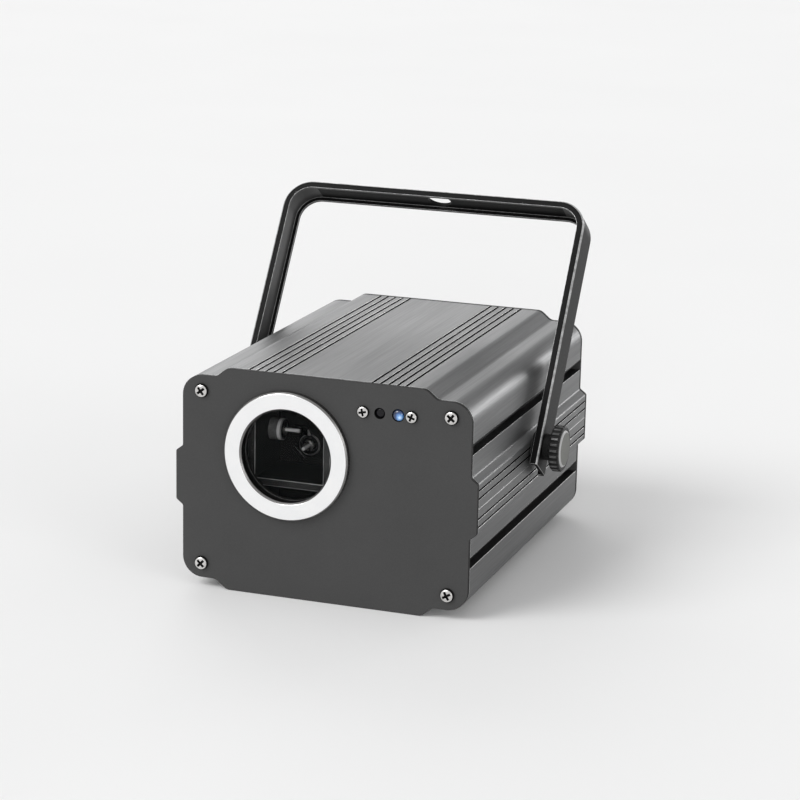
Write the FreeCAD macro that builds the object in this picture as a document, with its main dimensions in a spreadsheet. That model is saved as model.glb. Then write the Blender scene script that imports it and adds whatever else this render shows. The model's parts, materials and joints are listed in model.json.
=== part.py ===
import FreeCAD, Part
import os
import re
import Sketcher
from FreeCAD import Placement, Rotation, Vector

# Laser show projector, in millimetres: +Z up, light leaves towards -Y.
# The origin is at the centre of the bottom face.
# Every size is a named cell of one sheet, and every piece is bound to those cells.

SIZES = {
    # Housing extrusion: overall section, then its details
    "band_width": 130.0,
    "band_depth": 3.0,
    "band_flat_height": 20.8,
    "band_slope": 2.3,
    "shoulder_width": 19.5,
    "shoulder_drop": 4.0,
    "plateau_flare": 4.8,
    "body_height": 94.0,
    "shell_length": 155.0,
    "wall": 2.5,
    "corner_round": 8.6,
    "plateau_round": 4.5,
    "foot_round": 4.0,
    "band_round": 1.2,
    "joint_tongue_height": 1.5,
    "joint_tongue_thick": 1.2,
    "joint_gap": 0.1,
    "side_slot_height": 3.5,
    "side_slot_depth": 4.0,
    "side_slot_wall": 1.5,
    "side_rebate_height": 1.2,
    "side_rebate_depth": 0.7,
    "band_groove_inner_rise": 4.15,
    "band_groove_outer_rise": 7.6,
    "band_groove_height": 0.9,
    "band_groove_depth": 0.8,
    "rib_group_offset": 26.4,
    "rib_groove_pitch": 3.55,
    "rib_groove_width": 1.2,
    "rib_groove_depth": 1.2,
    # End panels and the screws at their corners
    "panel_thick": 2.0,
    "corner_screw_inset": 8.5,
    "corner_screw_drop": 6.3,
    "corner_boss_radius": 4.2,
    "screw_radius": 1.5,
    "screw_length": 10.0,
    "screw_head_radius": 3.0,
    "screw_head_height": 1.7,
    "screw_hole_clearance": 0.1,
    # Fits: between pieces of one body, between a shaft and its bearing, past a face that is cut
    "seat_fit": 0.03,
    "running_fit": 0.05,
    "overrun": 2.0,
    # Light window
    "window_x": -15.9,
    "window_drop": 33.6,
    "bezel_radius": 27.0,
    "bezel_bore_radius": 19.2,
    "bezel_height": 3.0,
    "bezel_bevel": 0.9,
    "bezel_sleeve_radius": 22.6,
    "bezel_sleeve_length": 6.0,
    "bezel_nut_radius": 26.0,
    "bezel_nut_thick": 3.0,
    "window_glass_radius": 21.0,
    "window_glass_thick": 2.0,
    "gasket_thick": 0.8,
    "gasket_width": 1.4,
    "retaining_ring_thick": 2.0,
    "retaining_ring_width": 1.6,
    # Sensor board behind the front panel
    "sensor_drop": 7.8,
    "sensor_inset": 25.1,
    "sensor_screw_spacing": 20.5,
    "sensor_screw_radius": 1.25,
    "sensor_screw_length": 6.5,
    "sensor_head_radius": 2.6,
    "sensor_head_height": 1.5,
    "receiver_offset": 6.9,
    "led_offset": 14.7,
    "sensor_board_margin": 3.6,
    "sensor_board_height": 10.0,
    "sensor_board_thick": 1.6,
    "sensor_standoff_length": 3.5,
    "sensor_standoff_radius": 2.4,
    "receiver_width": 5.0,
    "receiver_height": 6.0,
    "receiver_depth": 3.1,
    "receiver_lens_radius": 2.1,
    "receiver_lens_length": 1.9,
    "led_flange_radius": 2.8,
    "led_flange_thick": 1.0,
    "led_radius": 2.4,
    "led_barrel_length": 3.6,
    "led_dome_height": 1.7,
    "lamp_hole_clearance": 0.15,
    # Tilting bracket and its pivot
    "pivot_rise": 6.7,
    "pivot_forward": 1.0,
    "bracket_arm_gap": 4.7,
    "bracket_reach": 109.4,
    "bracket_tail": 10.5,
    "bracket_strip": 16.0,
    "bracket_sheet": 1.5,
    "bracket_lip": 3.2,
    "bracket_bend": 12.5,
    "bracket_edge_round": 1.2,
    "bracket_lean_angle": 33.5,
    "hanging_hole_radius": 5.25,
    "pivot_clearance": 0.3,
    "pivot_gap": 0.1,
    "insert_radius": 3.2,
    "insert_flange_radius": 3.7,
    "insert_flange_thick": 2.0,
    "friction_washer_radius": 6.4,
    # Clamp knobs
    "stud_radius": 2.5,
    "stud_inside_length": 9.0,
    "stud_in_knob_length": 5.0,
    "knob_radius": 9.9,
    "knob_neck_radius": 5.6,
    "knob_neck_length": 3.6,
    "knob_thick": 4.4,
    "knob_edge": 0.8,
    "knob_flute_radius": 0.85,
    "knob_flute_ring": 10.05,
    "knob_cap_radius": 8.0,
    "knob_cap_thick": 1.2,
    "knob_cap_crown": 0.5,
    # Bench plate
    "bench_margin": 0.5,
    "bench_length": 68.0,
    "bench_thick": 3.0,
    "bench_front_gap": 7.5,
    "standoff_radius": 3.0,
    "standoff_height": 5.5,
    "bench_screw_inset": 6.0,
    "bench_screw_length": 8.0,
    "under_screw_spacing": 14.0,
    "mount_screw_inset": 9.0,
    # Scanner
    "scan_depth": 40.0,
    "scan_inset": 16.7,
    "tilt_drop": 0.8,
    "mirror_drop": 8.0,
    "mount_width": 36.3,
    "mount_wall": 3.0,
    "mount_front_depth": 21.5,
    "mount_back_depth": 51.5,
    "mount_top_rise": 17.4,
    "mount_shelf_drop": 17.4,
    "beam_hole_radius": 3.0,
    "motor_radius": 4.6,
    "motor_length": 16.0,
    "motor_reach": 8.0,
    "motor_nose_radius": 2.4,
    "motor_nose_length": 0.8,
    "shaft_radius": 0.75,
    "shaft_depth": 5.0,
    "mirror_grip": 2.0,
    "scan_mirror_length": 6.5,
    "scan_mirror_width": 6.4,
    "scan_mirror_thick": 1.0,
    "scan_lean_angle": 45.0,
    # Laser
    "laser_inset": 15.0,
    "laser_setback": 50.0,
    "laser_radius": 8.0,
    "laser_length": 34.0,
    "laser_bore_radius": 3.0,
    "laser_bore_depth": 4.0,
    "clamp_width": 24.0,
    "clamp_length": 14.0,
    "clamp_setback": 3.0,
    "clamp_top_wall": 4.0,
    "heat_sink_width": 32.0,
    "heat_sink_height": 32.0,
    "heat_sink_base": 5.0,
    "heat_sink_fin_length": 20.0,
    "heat_sink_fin_thick": 1.6,
    "fold_mirror_size": 12.0,
    "fold_mirror_thick": 1.5,
    "fold_post_thick": 6.0,
    "fold_turn_angle": 45.0,
    # Circuit boards
    "board_thick": 1.6,
    "board_hole_inset": 3.5,
    "board_standoff_radius": 2.4,
    "board_screw_radius": 1.25,
    "board_screw_length": 5.0,
    "board_head_radius": 2.3,
    "board_head_height": 1.3,
    "board_length": 32.0,
    "board_gap": 2.0,
    "chip_width": 14.0,
    "chip_height": 2.5,
    "connector_width": 18.0,
    "connector_depth": 6.0,
    "connector_height": 8.0,
    "transformer_width": 18.0,
    "transformer_length": 18.0,
    "transformer_height": 12.0,
    "capacitor_radius": 4.0,
    "capacitor_height": 11.0,
    # Fan in the rear panel
    "fan_x": -26.0,
    "fan_z": 56.0,
    "fan_size": 30.0,
    "fan_depth": 10.0,
    "fan_bore_radius": 14.0,
    "fan_hub_radius": 7.0,
    "fan_plate_thick": 2.5,
    "fan_strut_width": 3.0,
    "fan_shaft_radius": 1.0,
    "fan_rotor_gap": 0.5,
    "fan_rotor_setback": 1.0,
    "fan_blade_tip_radius": 13.0,
    "fan_blade_root_sink": 1.5,
    "fan_blade_chord": 6.0,
    "fan_blade_thick": 1.0,
    "fan_blade_angle": 50.0,
    "fan_screw_pitch": 24.0,
    "fan_screw_length": 12.0,
    "guard_wire_radius": 0.8,
    "guard_ring_wire_radius": 0.65,
    "guard_hub_radius": 2.4,
    "guard_lug_radius": 3.0,
    "guard_lug_thick": 2.0,
    # Mains inlet and switch in the rear panel
    "inlet_x": -24.0,
    "inlet_z": 17.0,
    "inlet_width": 27.5,
    "inlet_height": 19.5,
    "inlet_flange_rim": 1.75,
    "inlet_flange_thick": 2.5,
    "inlet_depth": 18.0,
    "inlet_wall": 2.4,
    "inlet_cavity_depth": 17.5,
    "inlet_pin_width": 2.0,
    "inlet_pin_height": 4.0,
    "inlet_pin_length": 11.0,
    "inlet_pin_spacing": 14.0,
    "inlet_earth_rise": 4.0,
    "inlet_line_drop": 2.0,
    "switch_x": 33.0,
    "switch_z": 22.0,
    "switch_width": 18.8,
    "switch_height": 12.8,
    "switch_flange_rim": 1.1,
    "switch_flange_thick": 1.8,
    "switch_depth": 14.0,
    "switch_wall_x": 1.2,
    "switch_wall_z": 0.9,
    "switch_pivot_sink": 0.4,
    "rocker_width": 15.0,
    "rocker_height": 10.6,
    "rocker_keel": 3.0,
    "rocker_tip": 3.4,
    "rocker_valley": 2.2,
    "rocker_tilt_angle": 8.0,
    "rocker_axle_radius": 1.0,
    "rocker_cavity_depth": 5.5,
    # Signal socket in the rear panel
    "socket_x": 7.0,
    "socket_z": 21.5,
    "socket_flange_width": 26.0,
    "socket_flange_height": 31.0,
    "socket_flange_thick": 2.0,
    "socket_body_radius": 11.8,
    "socket_body_depth": 20.0,
    "socket_bore_radius": 9.4,
    "socket_bore_depth": 14.0,
    "socket_screw_spacing_x": 19.0,
    "socket_screw_spacing_z": 24.0,
    "contact_radius": 1.2,
    "contact_length": 9.0,
    "contact_ring_radius": 4.2,
    # Menu panel
    "control_board_x": 17.0,
    "control_board_z": 57.0,
    "control_board_width": 46.0,
    "control_board_height": 30.0,
    "control_board_gap": 8.0,
    "display_width": 32.0,
    "display_height": 15.0,
    "display_rise": 4.5,
    "display_recess": 0.4,
    "display_clearance": 0.2,
    "button_row_drop": 10.0,
    "button_pitch": 9.0,
    "button_radius": 2.4,
    "button_clearance": 0.1,
    "button_proud": 1.8,
    "button_flange_radius": 3.2,
    "button_flange_thick": 0.8,
    "button_flange_gap": 0.2,
    "button_stem_radius": 1.4,
    "button_travel": 0.6,
    "switch_can_width": 6.0,
    "switch_can_depth": 3.4,
    "switch_well_depth": 1.6,
}

RIB_GROOVES = 5
KNOB_FLUTES = 24
FAN_BLADES = 7
FAN_STRUTS = 3
HEAT_SINK_FINS = 7
MENU_BUTTONS = 4
SIDE_SLOT_SHARE = 0.507
GUARD_RING_SHARES = (0.36, 0.64, 0.92)
HEAD_CROWN_SHARE = 0.55
HEAD_RIM_SHARE = 0.45
CROSS_LENGTH_SHARE = 1.15
CROSS_WIDTH_SHARE = 0.3
CROSS_DEPTH_SHARE = 0.6
TOUCH = 1e-4
QUARTER_TURN = 90

# Places on the housing that many pieces share
MID = "body_height / 2"
SHOULDER = "body_height - shoulder_drop"
SIDE = "(band_width / 2 - band_depth)"
PLATEAU = "(band_width / 2 - band_depth - shoulder_width)"
FRONT_SEAT = "-shell_length / 2"
FRONT = "-shell_length / 2 - panel_thick"
REAR_SEAT = "shell_length / 2"
REAR = "shell_length / 2 + panel_thick"
WINDOW_Z = "body_height - window_drop"
SENSOR_Z = f"{SHOULDER} - sensor_drop"
SENSOR_RIGHT = f"({SIDE} - sensor_inset)"
SENSOR_LEFT = f"({SIDE} - sensor_inset - sensor_screw_spacing)"
RECEIVER_X = f"{SENSOR_LEFT} + receiver_offset"
LED_X = f"{SENSOR_LEFT} + led_offset"
PIVOT_Y = "-pivot_forward"
PIVOT_Z = f"{MID} + pivot_rise"
BRACKET_SIDE = "(band_width / 2 + bracket_arm_gap)"
BENCH_SIDE = f"({PLATEAU} - bench_margin)"
BENCH_FRONT = f"{FRONT_SEAT} + bench_front_gap"
BENCH_TOP = "wall + standoff_height + bench_thick"
SCAN_Y = f"{FRONT} + scan_depth"
TILT_Z = f"{WINDOW_Z} - tilt_drop"
PAN_Z = f"{WINDOW_Z} - tilt_drop - mirror_drop"
MOUNT_LEFT = f"-{BENCH_SIDE}"
MOUNT_RIGHT = f"({MOUNT_LEFT} + mount_width)"
SCAN_X = f"({MOUNT_LEFT} + scan_inset)"
MOUNT_BACK = f"{FRONT} + mount_back_depth"
MOUNT_SHELF = f"{WINDOW_Z} - mount_shelf_drop"
LASER_X = f"({BENCH_SIDE} - laser_inset)"
LASER_FRONT = f"{FRONT} + laser_setback"
BUTTON_Z = "control_board_z - button_row_drop"
DISPLAY_Z = "control_board_z + display_rise"

TURNS = {
    "+x": Rotation(),
    "-x": Rotation(Vector(0, 0, 1), 180),
    "+y": Rotation(Vector(0, 0, 1), 90),
    "-y": Rotation(Vector(0, 0, 1), -90),
    "+z": Rotation(Vector(0, 1, 0), -90),
    "-z": Rotation(Vector(0, 1, 0), 90),
}

doc = FreeCAD.newDocument("laser_show_projector")
sheet = doc.addObject("Spreadsheet::Sheet", "sizes")
for row, (name, value) in enumerate(SIZES.items(), 1):
    sheet.set(f"A{row}", name)
    sheet.set(f"B{row}", str(value))
    sheet.setAlias(f"B{row}", name)
doc.recompute()

nodes = []


def bound(text):
    """The expression with every size pointed at its cell."""
    return re.sub(r"[a-z_]+", lambda word: "sizes." + word[0] if word[0] in SIZES else word[0], text)


def number(text):
    """The expression's value as it stands now."""
    return float(sheet.evalExpression(text))


def place(thing, x="0", y="0", z="0"):
    for axis, text in zip("xyz", (x, y, z)):
        thing.setExpression("Placement.Base." + axis, bound(text))
    return thing


def node(label, thing):
    """Name a finished piece."""
    thing.Label = label
    nodes.append(thing)
    return thing


def block(size, at, centred="xy"):
    """A box whose place is its centre along the named axes and its low side along the others."""
    box = doc.addObject("Part::Box", "block")
    for side, text in zip(("Length", "Width", "Height"), size):
        box.setExpression(side, bound(text))
    corner = [f"({p}) - ({s}) / 2" if axis in centred else p for p, s, axis in zip(at, size, "xyz")]
    return place(box, *corner)


def rod(direction, radius, length, at):
    """A cylinder that starts at a point and runs in one direction."""
    bar = doc.addObject("Part::Cylinder", "rod")
    bar.setExpression("Radius", bound(radius))
    bar.setExpression("Height", bound(length))
    bar.Placement = Placement(Vector(), TURNS[direction].multiply(Rotation(Vector(0, 1, 0), 90)))
    return place(bar, *at)


def fuse(*items):
    joined = doc.addObject("Part::MultiFuse", "joined")
    joined.Shapes = list(items)
    joined.Refine = True
    return joined


def cut(base, *tools):
    carved = doc.addObject("Part::Cut", "carved")
    carved.Base = base
    carved.Tool = tools[0] if len(tools) == 1 else fuse(*tools)
    return carved


def group(*items):
    """Separate solids that share one node."""
    together = doc.addObject("Part::Compound", "group")
    together.Links = list(items)
    return together


def copy(source, at, turn=Rotation()):
    """The same solid again at another place."""
    again = doc.addObject("App::Link", "copy")
    again.LinkedObject = source
    again.LinkTransform = True
    again.Placement = Placement(Vector(), turn)
    return place(again, *at)


def origin_part(body, role):
    return next(item for item in body.Origin.OriginFeatures if item.Role == role)


def outline(body, plane, corners):
    """A closed sketch of straight runs, every corner bound to the sheet."""
    sketch = body.newObject("Sketcher::SketchObject", "outline")
    sketch.AttachmentSupport = (origin_part(body, plane), [""])
    sketch.MapMode = "FlatFace"
    spots = [Vector(number(along), number(across), 0) for along, across in corners]
    for index in range(len(corners)):
        sketch.addGeometry(Part.LineSegment(spots[index - 1], spots[index]), False)
    limits = []
    texts = []
    for index, (corner, spot) in enumerate(zip(corners, spots)):
        following = (index + 1) % len(corners)
        limits.append(Sketcher.Constraint("Coincident", index, 2, following, 1))
        texts.append(None)
        for kind, text, at in zip(("DistanceX", "DistanceY"), corner, (spot.x, spot.y)):
            if text == "0":
                axis = -2 if kind == "DistanceX" else -1
                limits.append(Sketcher.Constraint("PointOnObject", index, 2, axis))
                texts.append(None)
            else:
                limits.append(Sketcher.Constraint(kind, -1, 1, index, 2, at))
                texts.append(text)
    sketch.addConstraint(limits)
    for index, text in enumerate(texts):
        if text:
            sketch.setExpression(f"Constraints[{index}]", bound(text))
    return sketch


def prism(plane, corners, length, symmetric=False):
    """A body padded from one outline."""
    body = doc.addObject("PartDesign::Body", "prism")
    sketch = outline(body, plane, corners)
    pad = body.newObject("PartDesign::Pad", "pad")
    pad.Profile = sketch
    pad.setExpression("Length", bound(length))
    pad.SideType = "Symmetric" if symmetric else "One side"
    return body


def turned(corners, direction="+x"):
    """A body of revolution: corners are (along, radius), and the axis runs in the direction."""
    body = doc.addObject("PartDesign::Body", "turned")
    sketch = outline(body, "XY_Plane", corners)
    spin = body.newObject("PartDesign::Revolution", "spin")
    spin.Profile = sketch
    spin.ReferenceAxis = (sketch, ["H_Axis"])
    body.Placement = Placement(Vector(), TURNS[direction])
    return body


def round_long_edges(body, corners, radius):
    """Round the edges that run straight through the section at these corners."""
    doc.recompute()
    solid = body.Tip
    spots = [(number(x), number(z)) for x, z in corners]
    names = []
    for index, edge in enumerate(solid.Shape.Edges, 1):
        ends = [vertex.Point for vertex in edge.Vertexes]
        along = len(ends) == 2 and abs(ends[0].y - ends[1].y) > edge.Length / 2
        if along and any(ends[0].isEqual(Vector(x, ends[0].y, z), TOUCH) for x, z in spots):
            names.append(f"Edge{index}")
    rounding = body.newObject("PartDesign::Fillet", "rounding")
    rounding.Base = (solid, names)
    rounding.setExpression("Radius", bound(radius))


def mirrored(points):
    """The same points on the other side of the middle, in reverse order."""
    return [(f"-({x})", z) for x, z in reversed(points)]


def flipped(points):
    """The same points upside down about the middle of the housing, in reverse order."""
    return [(x, f"body_height - ({z})") for x, z in reversed(points)]


def screw(radius, length, head_radius, head_height):
    """A pan head screw along +X with its head below zero and a cross recess."""
    shape = turned([
        (f"-({head_height})", "0"),
        (f"-({head_height})", f"{HEAD_CROWN_SHARE} * {head_radius}"),
        (f"-{HEAD_RIM_SHARE} * {head_height}", head_radius),
        ("0", head_radius),
        ("0", radius),
        (length, radius),
        (length, "0"),
    ])
    deep = f"{CROSS_DEPTH_SHARE} * {head_height}"
    long = f"{CROSS_LENGTH_SHARE} * {head_radius}"
    slim = f"{CROSS_WIDTH_SHARE} * {head_radius}"
    top = f"-({head_height}) - overrun + {deep}"
    tools = [block(("overrun", *sides), (top, "0", "0"), "yz") for sides in ((long, slim), (slim, long))]
    return cut(shape, *tools)


# Corners of the section's upper right quarter, from the side band up to the top plateau
QUARTER = [
    ("band_width / 2", f"{MID} + band_flat_height / 2"),
    (SIDE, f"{MID} + band_flat_height / 2 + band_slope"),
    (SIDE, SHOULDER),
    (f"{PLATEAU} + plateau_flare", SHOULDER),
    (PLATEAU, "body_height"),
]
ROUNDS = [(0, "band_round"), (1, "band_round"), (2, "corner_round"), (3, "foot_round"), (4, "plateau_round")]
CORNER_X = f"({SIDE} - corner_screw_inset)"
CORNER_TOP = f"{SHOULDER} - corner_screw_drop"
CORNER_BOTTOM = "shoulder_drop + corner_screw_drop"
SLOT_LOW = f"{MID} + {SIDE_SLOT_SHARE} * ({SHOULDER} - {MID})"
SLOT_HIGH = f"{SLOT_LOW} + side_slot_height"


def inner_quarter():
    """The inside of that quarter: a rib behind the side slot and a square boss for the corner screw."""
    wall_x = f"{SIDE} - wall"
    rib_x = f"{SIDE} - side_slot_depth - side_slot_wall"
    boss_x = f"{CORNER_X} - corner_boss_radius"
    boss_z = f"{CORNER_TOP} - corner_boss_radius"
    return [
        ("band_width / 2 - wall", f"{MID} + band_flat_height / 2"),
        (wall_x, f"{MID} + band_flat_height / 2 + band_slope"),
        (wall_x, f"{SLOT_LOW} - side_slot_wall"),
        (rib_x, f"{SLOT_LOW} - side_slot_wall"),
        (rib_x, f"{SLOT_HIGH} + side_rebate_height + side_slot_wall"),
        (wall_x, f"{SLOT_HIGH} + side_rebate_height + side_slot_wall"),
        (wall_x, boss_z),
        (boss_x, boss_z),
        (boss_x, f"{SHOULDER} - wall"),
        (f"{PLATEAU} + plateau_flare", f"{SHOULDER} - wall"),
        (PLATEAU, "body_height - wall"),
    ]


def four_corners(x, low, high):
    return [(side, z) for z in (low, high) for side in (x, f"-({x})")]


def shell_grooves(top):
    """Cuts along one half shell: plateau grooves, side slots with their rebates, and band grooves."""
    long = "shell_length + overrun"
    sign = "+" if top else "-"
    tools = []
    for side in ("", "-"):
        for index in range(RIB_GROOVES):
            x = f"{side}(rib_group_offset + {index - RIB_GROOVES // 2} * rib_groove_pitch)"
            low = "body_height - rib_groove_depth" if top else "rib_groove_depth - overrun"
            tools.append(block(("rib_groove_width", long, "overrun"), (x, "0", low)))
        for rise in ("band_groove_inner_rise", "band_groove_outer_rise"):
            x = f"{side}(band_width / 2 - band_groove_depth + overrun / 2)"
            at = (x, "0", f"{MID} {sign} {rise}")
            tools.append(block(("overrun", long, "band_groove_height"), at, "xyz"))
        low = SLOT_LOW if top else f"body_height - ({SLOT_HIGH})"
        deep = "side_slot_depth + overrun"
        x = f"{side}({SIDE} - side_slot_depth + ({deep}) / 2)"
        tools.append(block((deep, long, "side_slot_height"), (x, "0", low)))
        x = f"{side}({SIDE} - side_rebate_depth + overrun / 2)"
        tools.append(block(("overrun", long, "side_rebate_height"), (x, "0", f"{low} + side_slot_height")))
    return tools


def corner_holes(z):
    """Holes for the corner screws, at both ends of one half shell."""
    radius = "screw_radius + seat_fit"
    deep = "screw_length + overrun"
    tools = []
    for x in (CORNER_X, f"-{CORNER_X}"):
        tools.append(rod("+y", radius, deep, (x, f"{FRONT_SEAT} - overrun / 2", z)))
        tools.append(rod("-y", radius, deep, (x, f"{REAR_SEAT} + overrun / 2", z)))
    return tools


def make_shells():
    """Two extruded half shells that meet along the middle of the side bands."""
    edge = [("band_width / 2", MID)]
    bare_edge = [("band_width / 2 - wall", MID)]
    outside = edge + QUARTER
    inside = bare_edge + inner_quarter()
    upper = prism("XZ_Plane", outside + mirrored(outside) + mirrored(inside)[::-1] + inside[::-1],
                  "shell_length", True)
    tongue_x = "band_width / 2 - wall - joint_gap"
    tongue = [
        (tongue_x, MID),
        (tongue_x, f"{MID} + joint_tongue_height"),
        (f"{tongue_x} - joint_tongue_thick", f"{MID} + joint_tongue_height"),
        (f"{tongue_x} - joint_tongue_thick", f"{MID} - joint_tongue_height"),
        ("band_width / 2 - wall", f"{MID} - joint_tongue_height - joint_tongue_thick"),
    ]
    outside = edge + flipped(QUARTER)[::-1]
    inside = tongue + flipped(inner_quarter())[::-1]
    lower = prism("XZ_Plane", outside + mirrored(outside) + mirrored(inside)[::-1] + inside[::-1],
                  "shell_length", True)
    for shell, turn_over in ((upper, False), (lower, True)):
        for spot, radius in ROUNDS:
            corner = [QUARTER[spot]]
            corner = flipped(corner) if turn_over else corner
            round_long_edges(shell, corner + mirrored(corner), radius)
    reach = "wall + overrun"
    holes = [
        rod("+x", "insert_radius + seat_fit", reach,
            ("band_width / 2 - wall - overrun / 2", PIVOT_Y, PIVOT_Z)),
        rod("-x", "insert_radius + seat_fit", reach,
            ("overrun / 2 + wall - band_width / 2", PIVOT_Y, PIVOT_Z)),
    ]
    node("upper_shell", cut(upper, *shell_grooves(True), *corner_holes(CORNER_TOP), *holes))
    node("lower_shell", cut(lower, *shell_grooves(False), *corner_holes(CORNER_BOTTOM)))


def end_plate():
    """A plate with the housing's outline, its inner or outer face on the plane y = 0."""
    right = flipped(QUARTER) + QUARTER
    plate = prism("XZ_Plane", right + mirrored(right), "panel_thick")
    for spot, radius in ROUNDS:
        corners = [QUARTER[spot]] + flipped([QUARTER[spot]])
        round_long_edges(plate, corners + mirrored(corners), radius)
    return plate


def plate_hole(radius, x, z, seat):
    """A round hole through a panel whose inner face lies at the seat."""
    return rod("+y", radius, "2 * panel_thick + 2 * overrun", (x, f"{seat} - panel_thick - overrun", z))


def plate_window(width, height, x, z, seat):
    """A square hole through a panel whose inner face lies at the seat."""
    return block((width, "2 * panel_thick + 2 * overrun", height), (x, seat, z), "xyz")


def make_front_panel():
    panel = place(end_plate(), y=FRONT_SEAT)
    screw_hole = "screw_radius + screw_hole_clearance"
    sensor_hole = "sensor_screw_radius + screw_hole_clearance"
    holes = [plate_hole(screw_hole, x, z, FRONT_SEAT)
             for x, z in four_corners(CORNER_X, CORNER_BOTTOM, CORNER_TOP)]
    holes += [plate_hole(sensor_hole, x, SENSOR_Z, FRONT_SEAT) for x in (SENSOR_LEFT, SENSOR_RIGHT)]
    holes += [
        plate_hole("bezel_sleeve_radius + seat_fit", "window_x", WINDOW_Z, FRONT_SEAT),
        plate_hole("receiver_lens_radius + lamp_hole_clearance", RECEIVER_X, SENSOR_Z, FRONT_SEAT),
        plate_hole("led_radius + lamp_hole_clearance", LED_X, SENSOR_Z, FRONT_SEAT),
    ]
    node("front_panel", cut(panel, *holes))


def button_x(index):
    return f"control_board_x + {index - (MENU_BUTTONS - 1) / 2} * button_pitch"


def socket_screw_places():
    """Two screws on one diagonal of the socket's flange."""
    return [
        ("socket_x - socket_screw_spacing_x / 2", "socket_z + socket_screw_spacing_z / 2"),
        ("socket_x + socket_screw_spacing_x / 2", "socket_z - socket_screw_spacing_z / 2"),
    ]


def fan_screw_places():
    half = "fan_screw_pitch / 2"
    return [(f"fan_x {a} {half}", f"fan_z {b} {half}") for a in "+-" for b in "+-"]


def make_rear_panel():
    panel = place(end_plate(), y=REAR)
    screw_hole = "screw_radius + screw_hole_clearance"
    screws = four_corners(CORNER_X, CORNER_BOTTOM, CORNER_TOP) + fan_screw_places() + socket_screw_places()
    holes = [plate_hole(screw_hole, x, z, REAR_SEAT) for x, z in screws]
    holes += [plate_hole("button_radius + button_clearance", button_x(i), BUTTON_Z, REAR_SEAT)
              for i in range(MENU_BUTTONS)]
    display = ("display_width + 2 * display_clearance", "display_height + 2 * display_clearance")
    holes += [
        plate_hole("fan_bore_radius", "fan_x", "fan_z", REAR_SEAT),
        plate_hole("socket_body_radius + seat_fit", "socket_x", "socket_z", REAR_SEAT),
        plate_window("inlet_width + 2 * seat_fit", "inlet_height + 2 * seat_fit", "inlet_x", "inlet_z",
                     REAR_SEAT),
        plate_window("switch_width + 2 * seat_fit", "switch_height + 2 * seat_fit", "switch_x", "switch_z",
                     REAR_SEAT),
        plate_window(*display, "control_board_x", DISPLAY_Z, REAR_SEAT),
    ]
    node("rear_panel", cut(panel, *holes))


def make_panel_screws():
    """Alike pan head screws: the panels' corners, then the socket's flange."""
    pattern = screw("screw_radius", "screw_length", "screw_head_radius", "screw_head_height")
    corners = four_corners(CORNER_X, CORNER_BOTTOM, CORNER_TOP)
    node("front_panel_screws", group(*[copy(pattern, (x, FRONT, z), TURNS["+y"]) for x, z in corners]))
    rear = [copy(pattern, (x, REAR, z), TURNS["-y"]) for x, z in corners]
    rear += [copy(pattern, (x, f"{REAR} + socket_flange_thick", z), TURNS["-y"])
             for x, z in socket_screw_places()]
    node("rear_panel_screws", group(*rear))


def make_window():
    """The bright bezel, the glass between its gasket and retaining ring, and the nut behind the panel."""
    at = ("window_x", FRONT, WINDOW_Z)
    bore = "window_glass_radius + seat_fit"
    bezel = turned([
        ("0", "bezel_bore_radius"),
        ("bezel_bevel - bezel_height", "bezel_bore_radius"),
        ("-bezel_height", "bezel_bore_radius + bezel_bevel"),
        ("-bezel_height", "bezel_radius - bezel_bevel"),
        ("bezel_bevel - bezel_height", "bezel_radius"),
        ("0", "bezel_radius"),
        ("0", "bezel_sleeve_radius"),
        ("bezel_sleeve_length", "bezel_sleeve_radius"),
        ("bezel_sleeve_length", bore),
        ("0", bore),
    ], "+y")
    node("window_bezel", place(bezel, *at))
    nut = cut(rod("+y", "bezel_nut_radius", "bezel_nut_thick", ("window_x", FRONT_SEAT, WINDOW_Z)),
              rod("+y", "bezel_sleeve_radius + seat_fit", "2 * bezel_nut_thick",
                  ("window_x", f"{FRONT_SEAT} - bezel_nut_thick / 2", WINDOW_Z)))
    node("bezel_nut", nut)

    def ring(outer, width, start, thick):
        return place(turned([
            (start, f"{outer} - {width}"),
            (start, outer),
            (f"{start} + {thick}", outer),
            (f"{start} + {thick}", f"{outer} - {width}"),
        ], "+y"), *at)

    glass_end = "gasket_thick + window_glass_thick"
    node("window_gasket", ring("window_glass_radius", "gasket_width", "0", "gasket_thick"))
    node("window_glass", rod("+y", "window_glass_radius", "window_glass_thick",
                             ("window_x", f"{FRONT} + gasket_thick", WINDOW_Z)))
    node("glass_retaining_ring",
         ring("window_glass_radius", "retaining_ring_width", glass_end, "retaining_ring_thick"))


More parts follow.
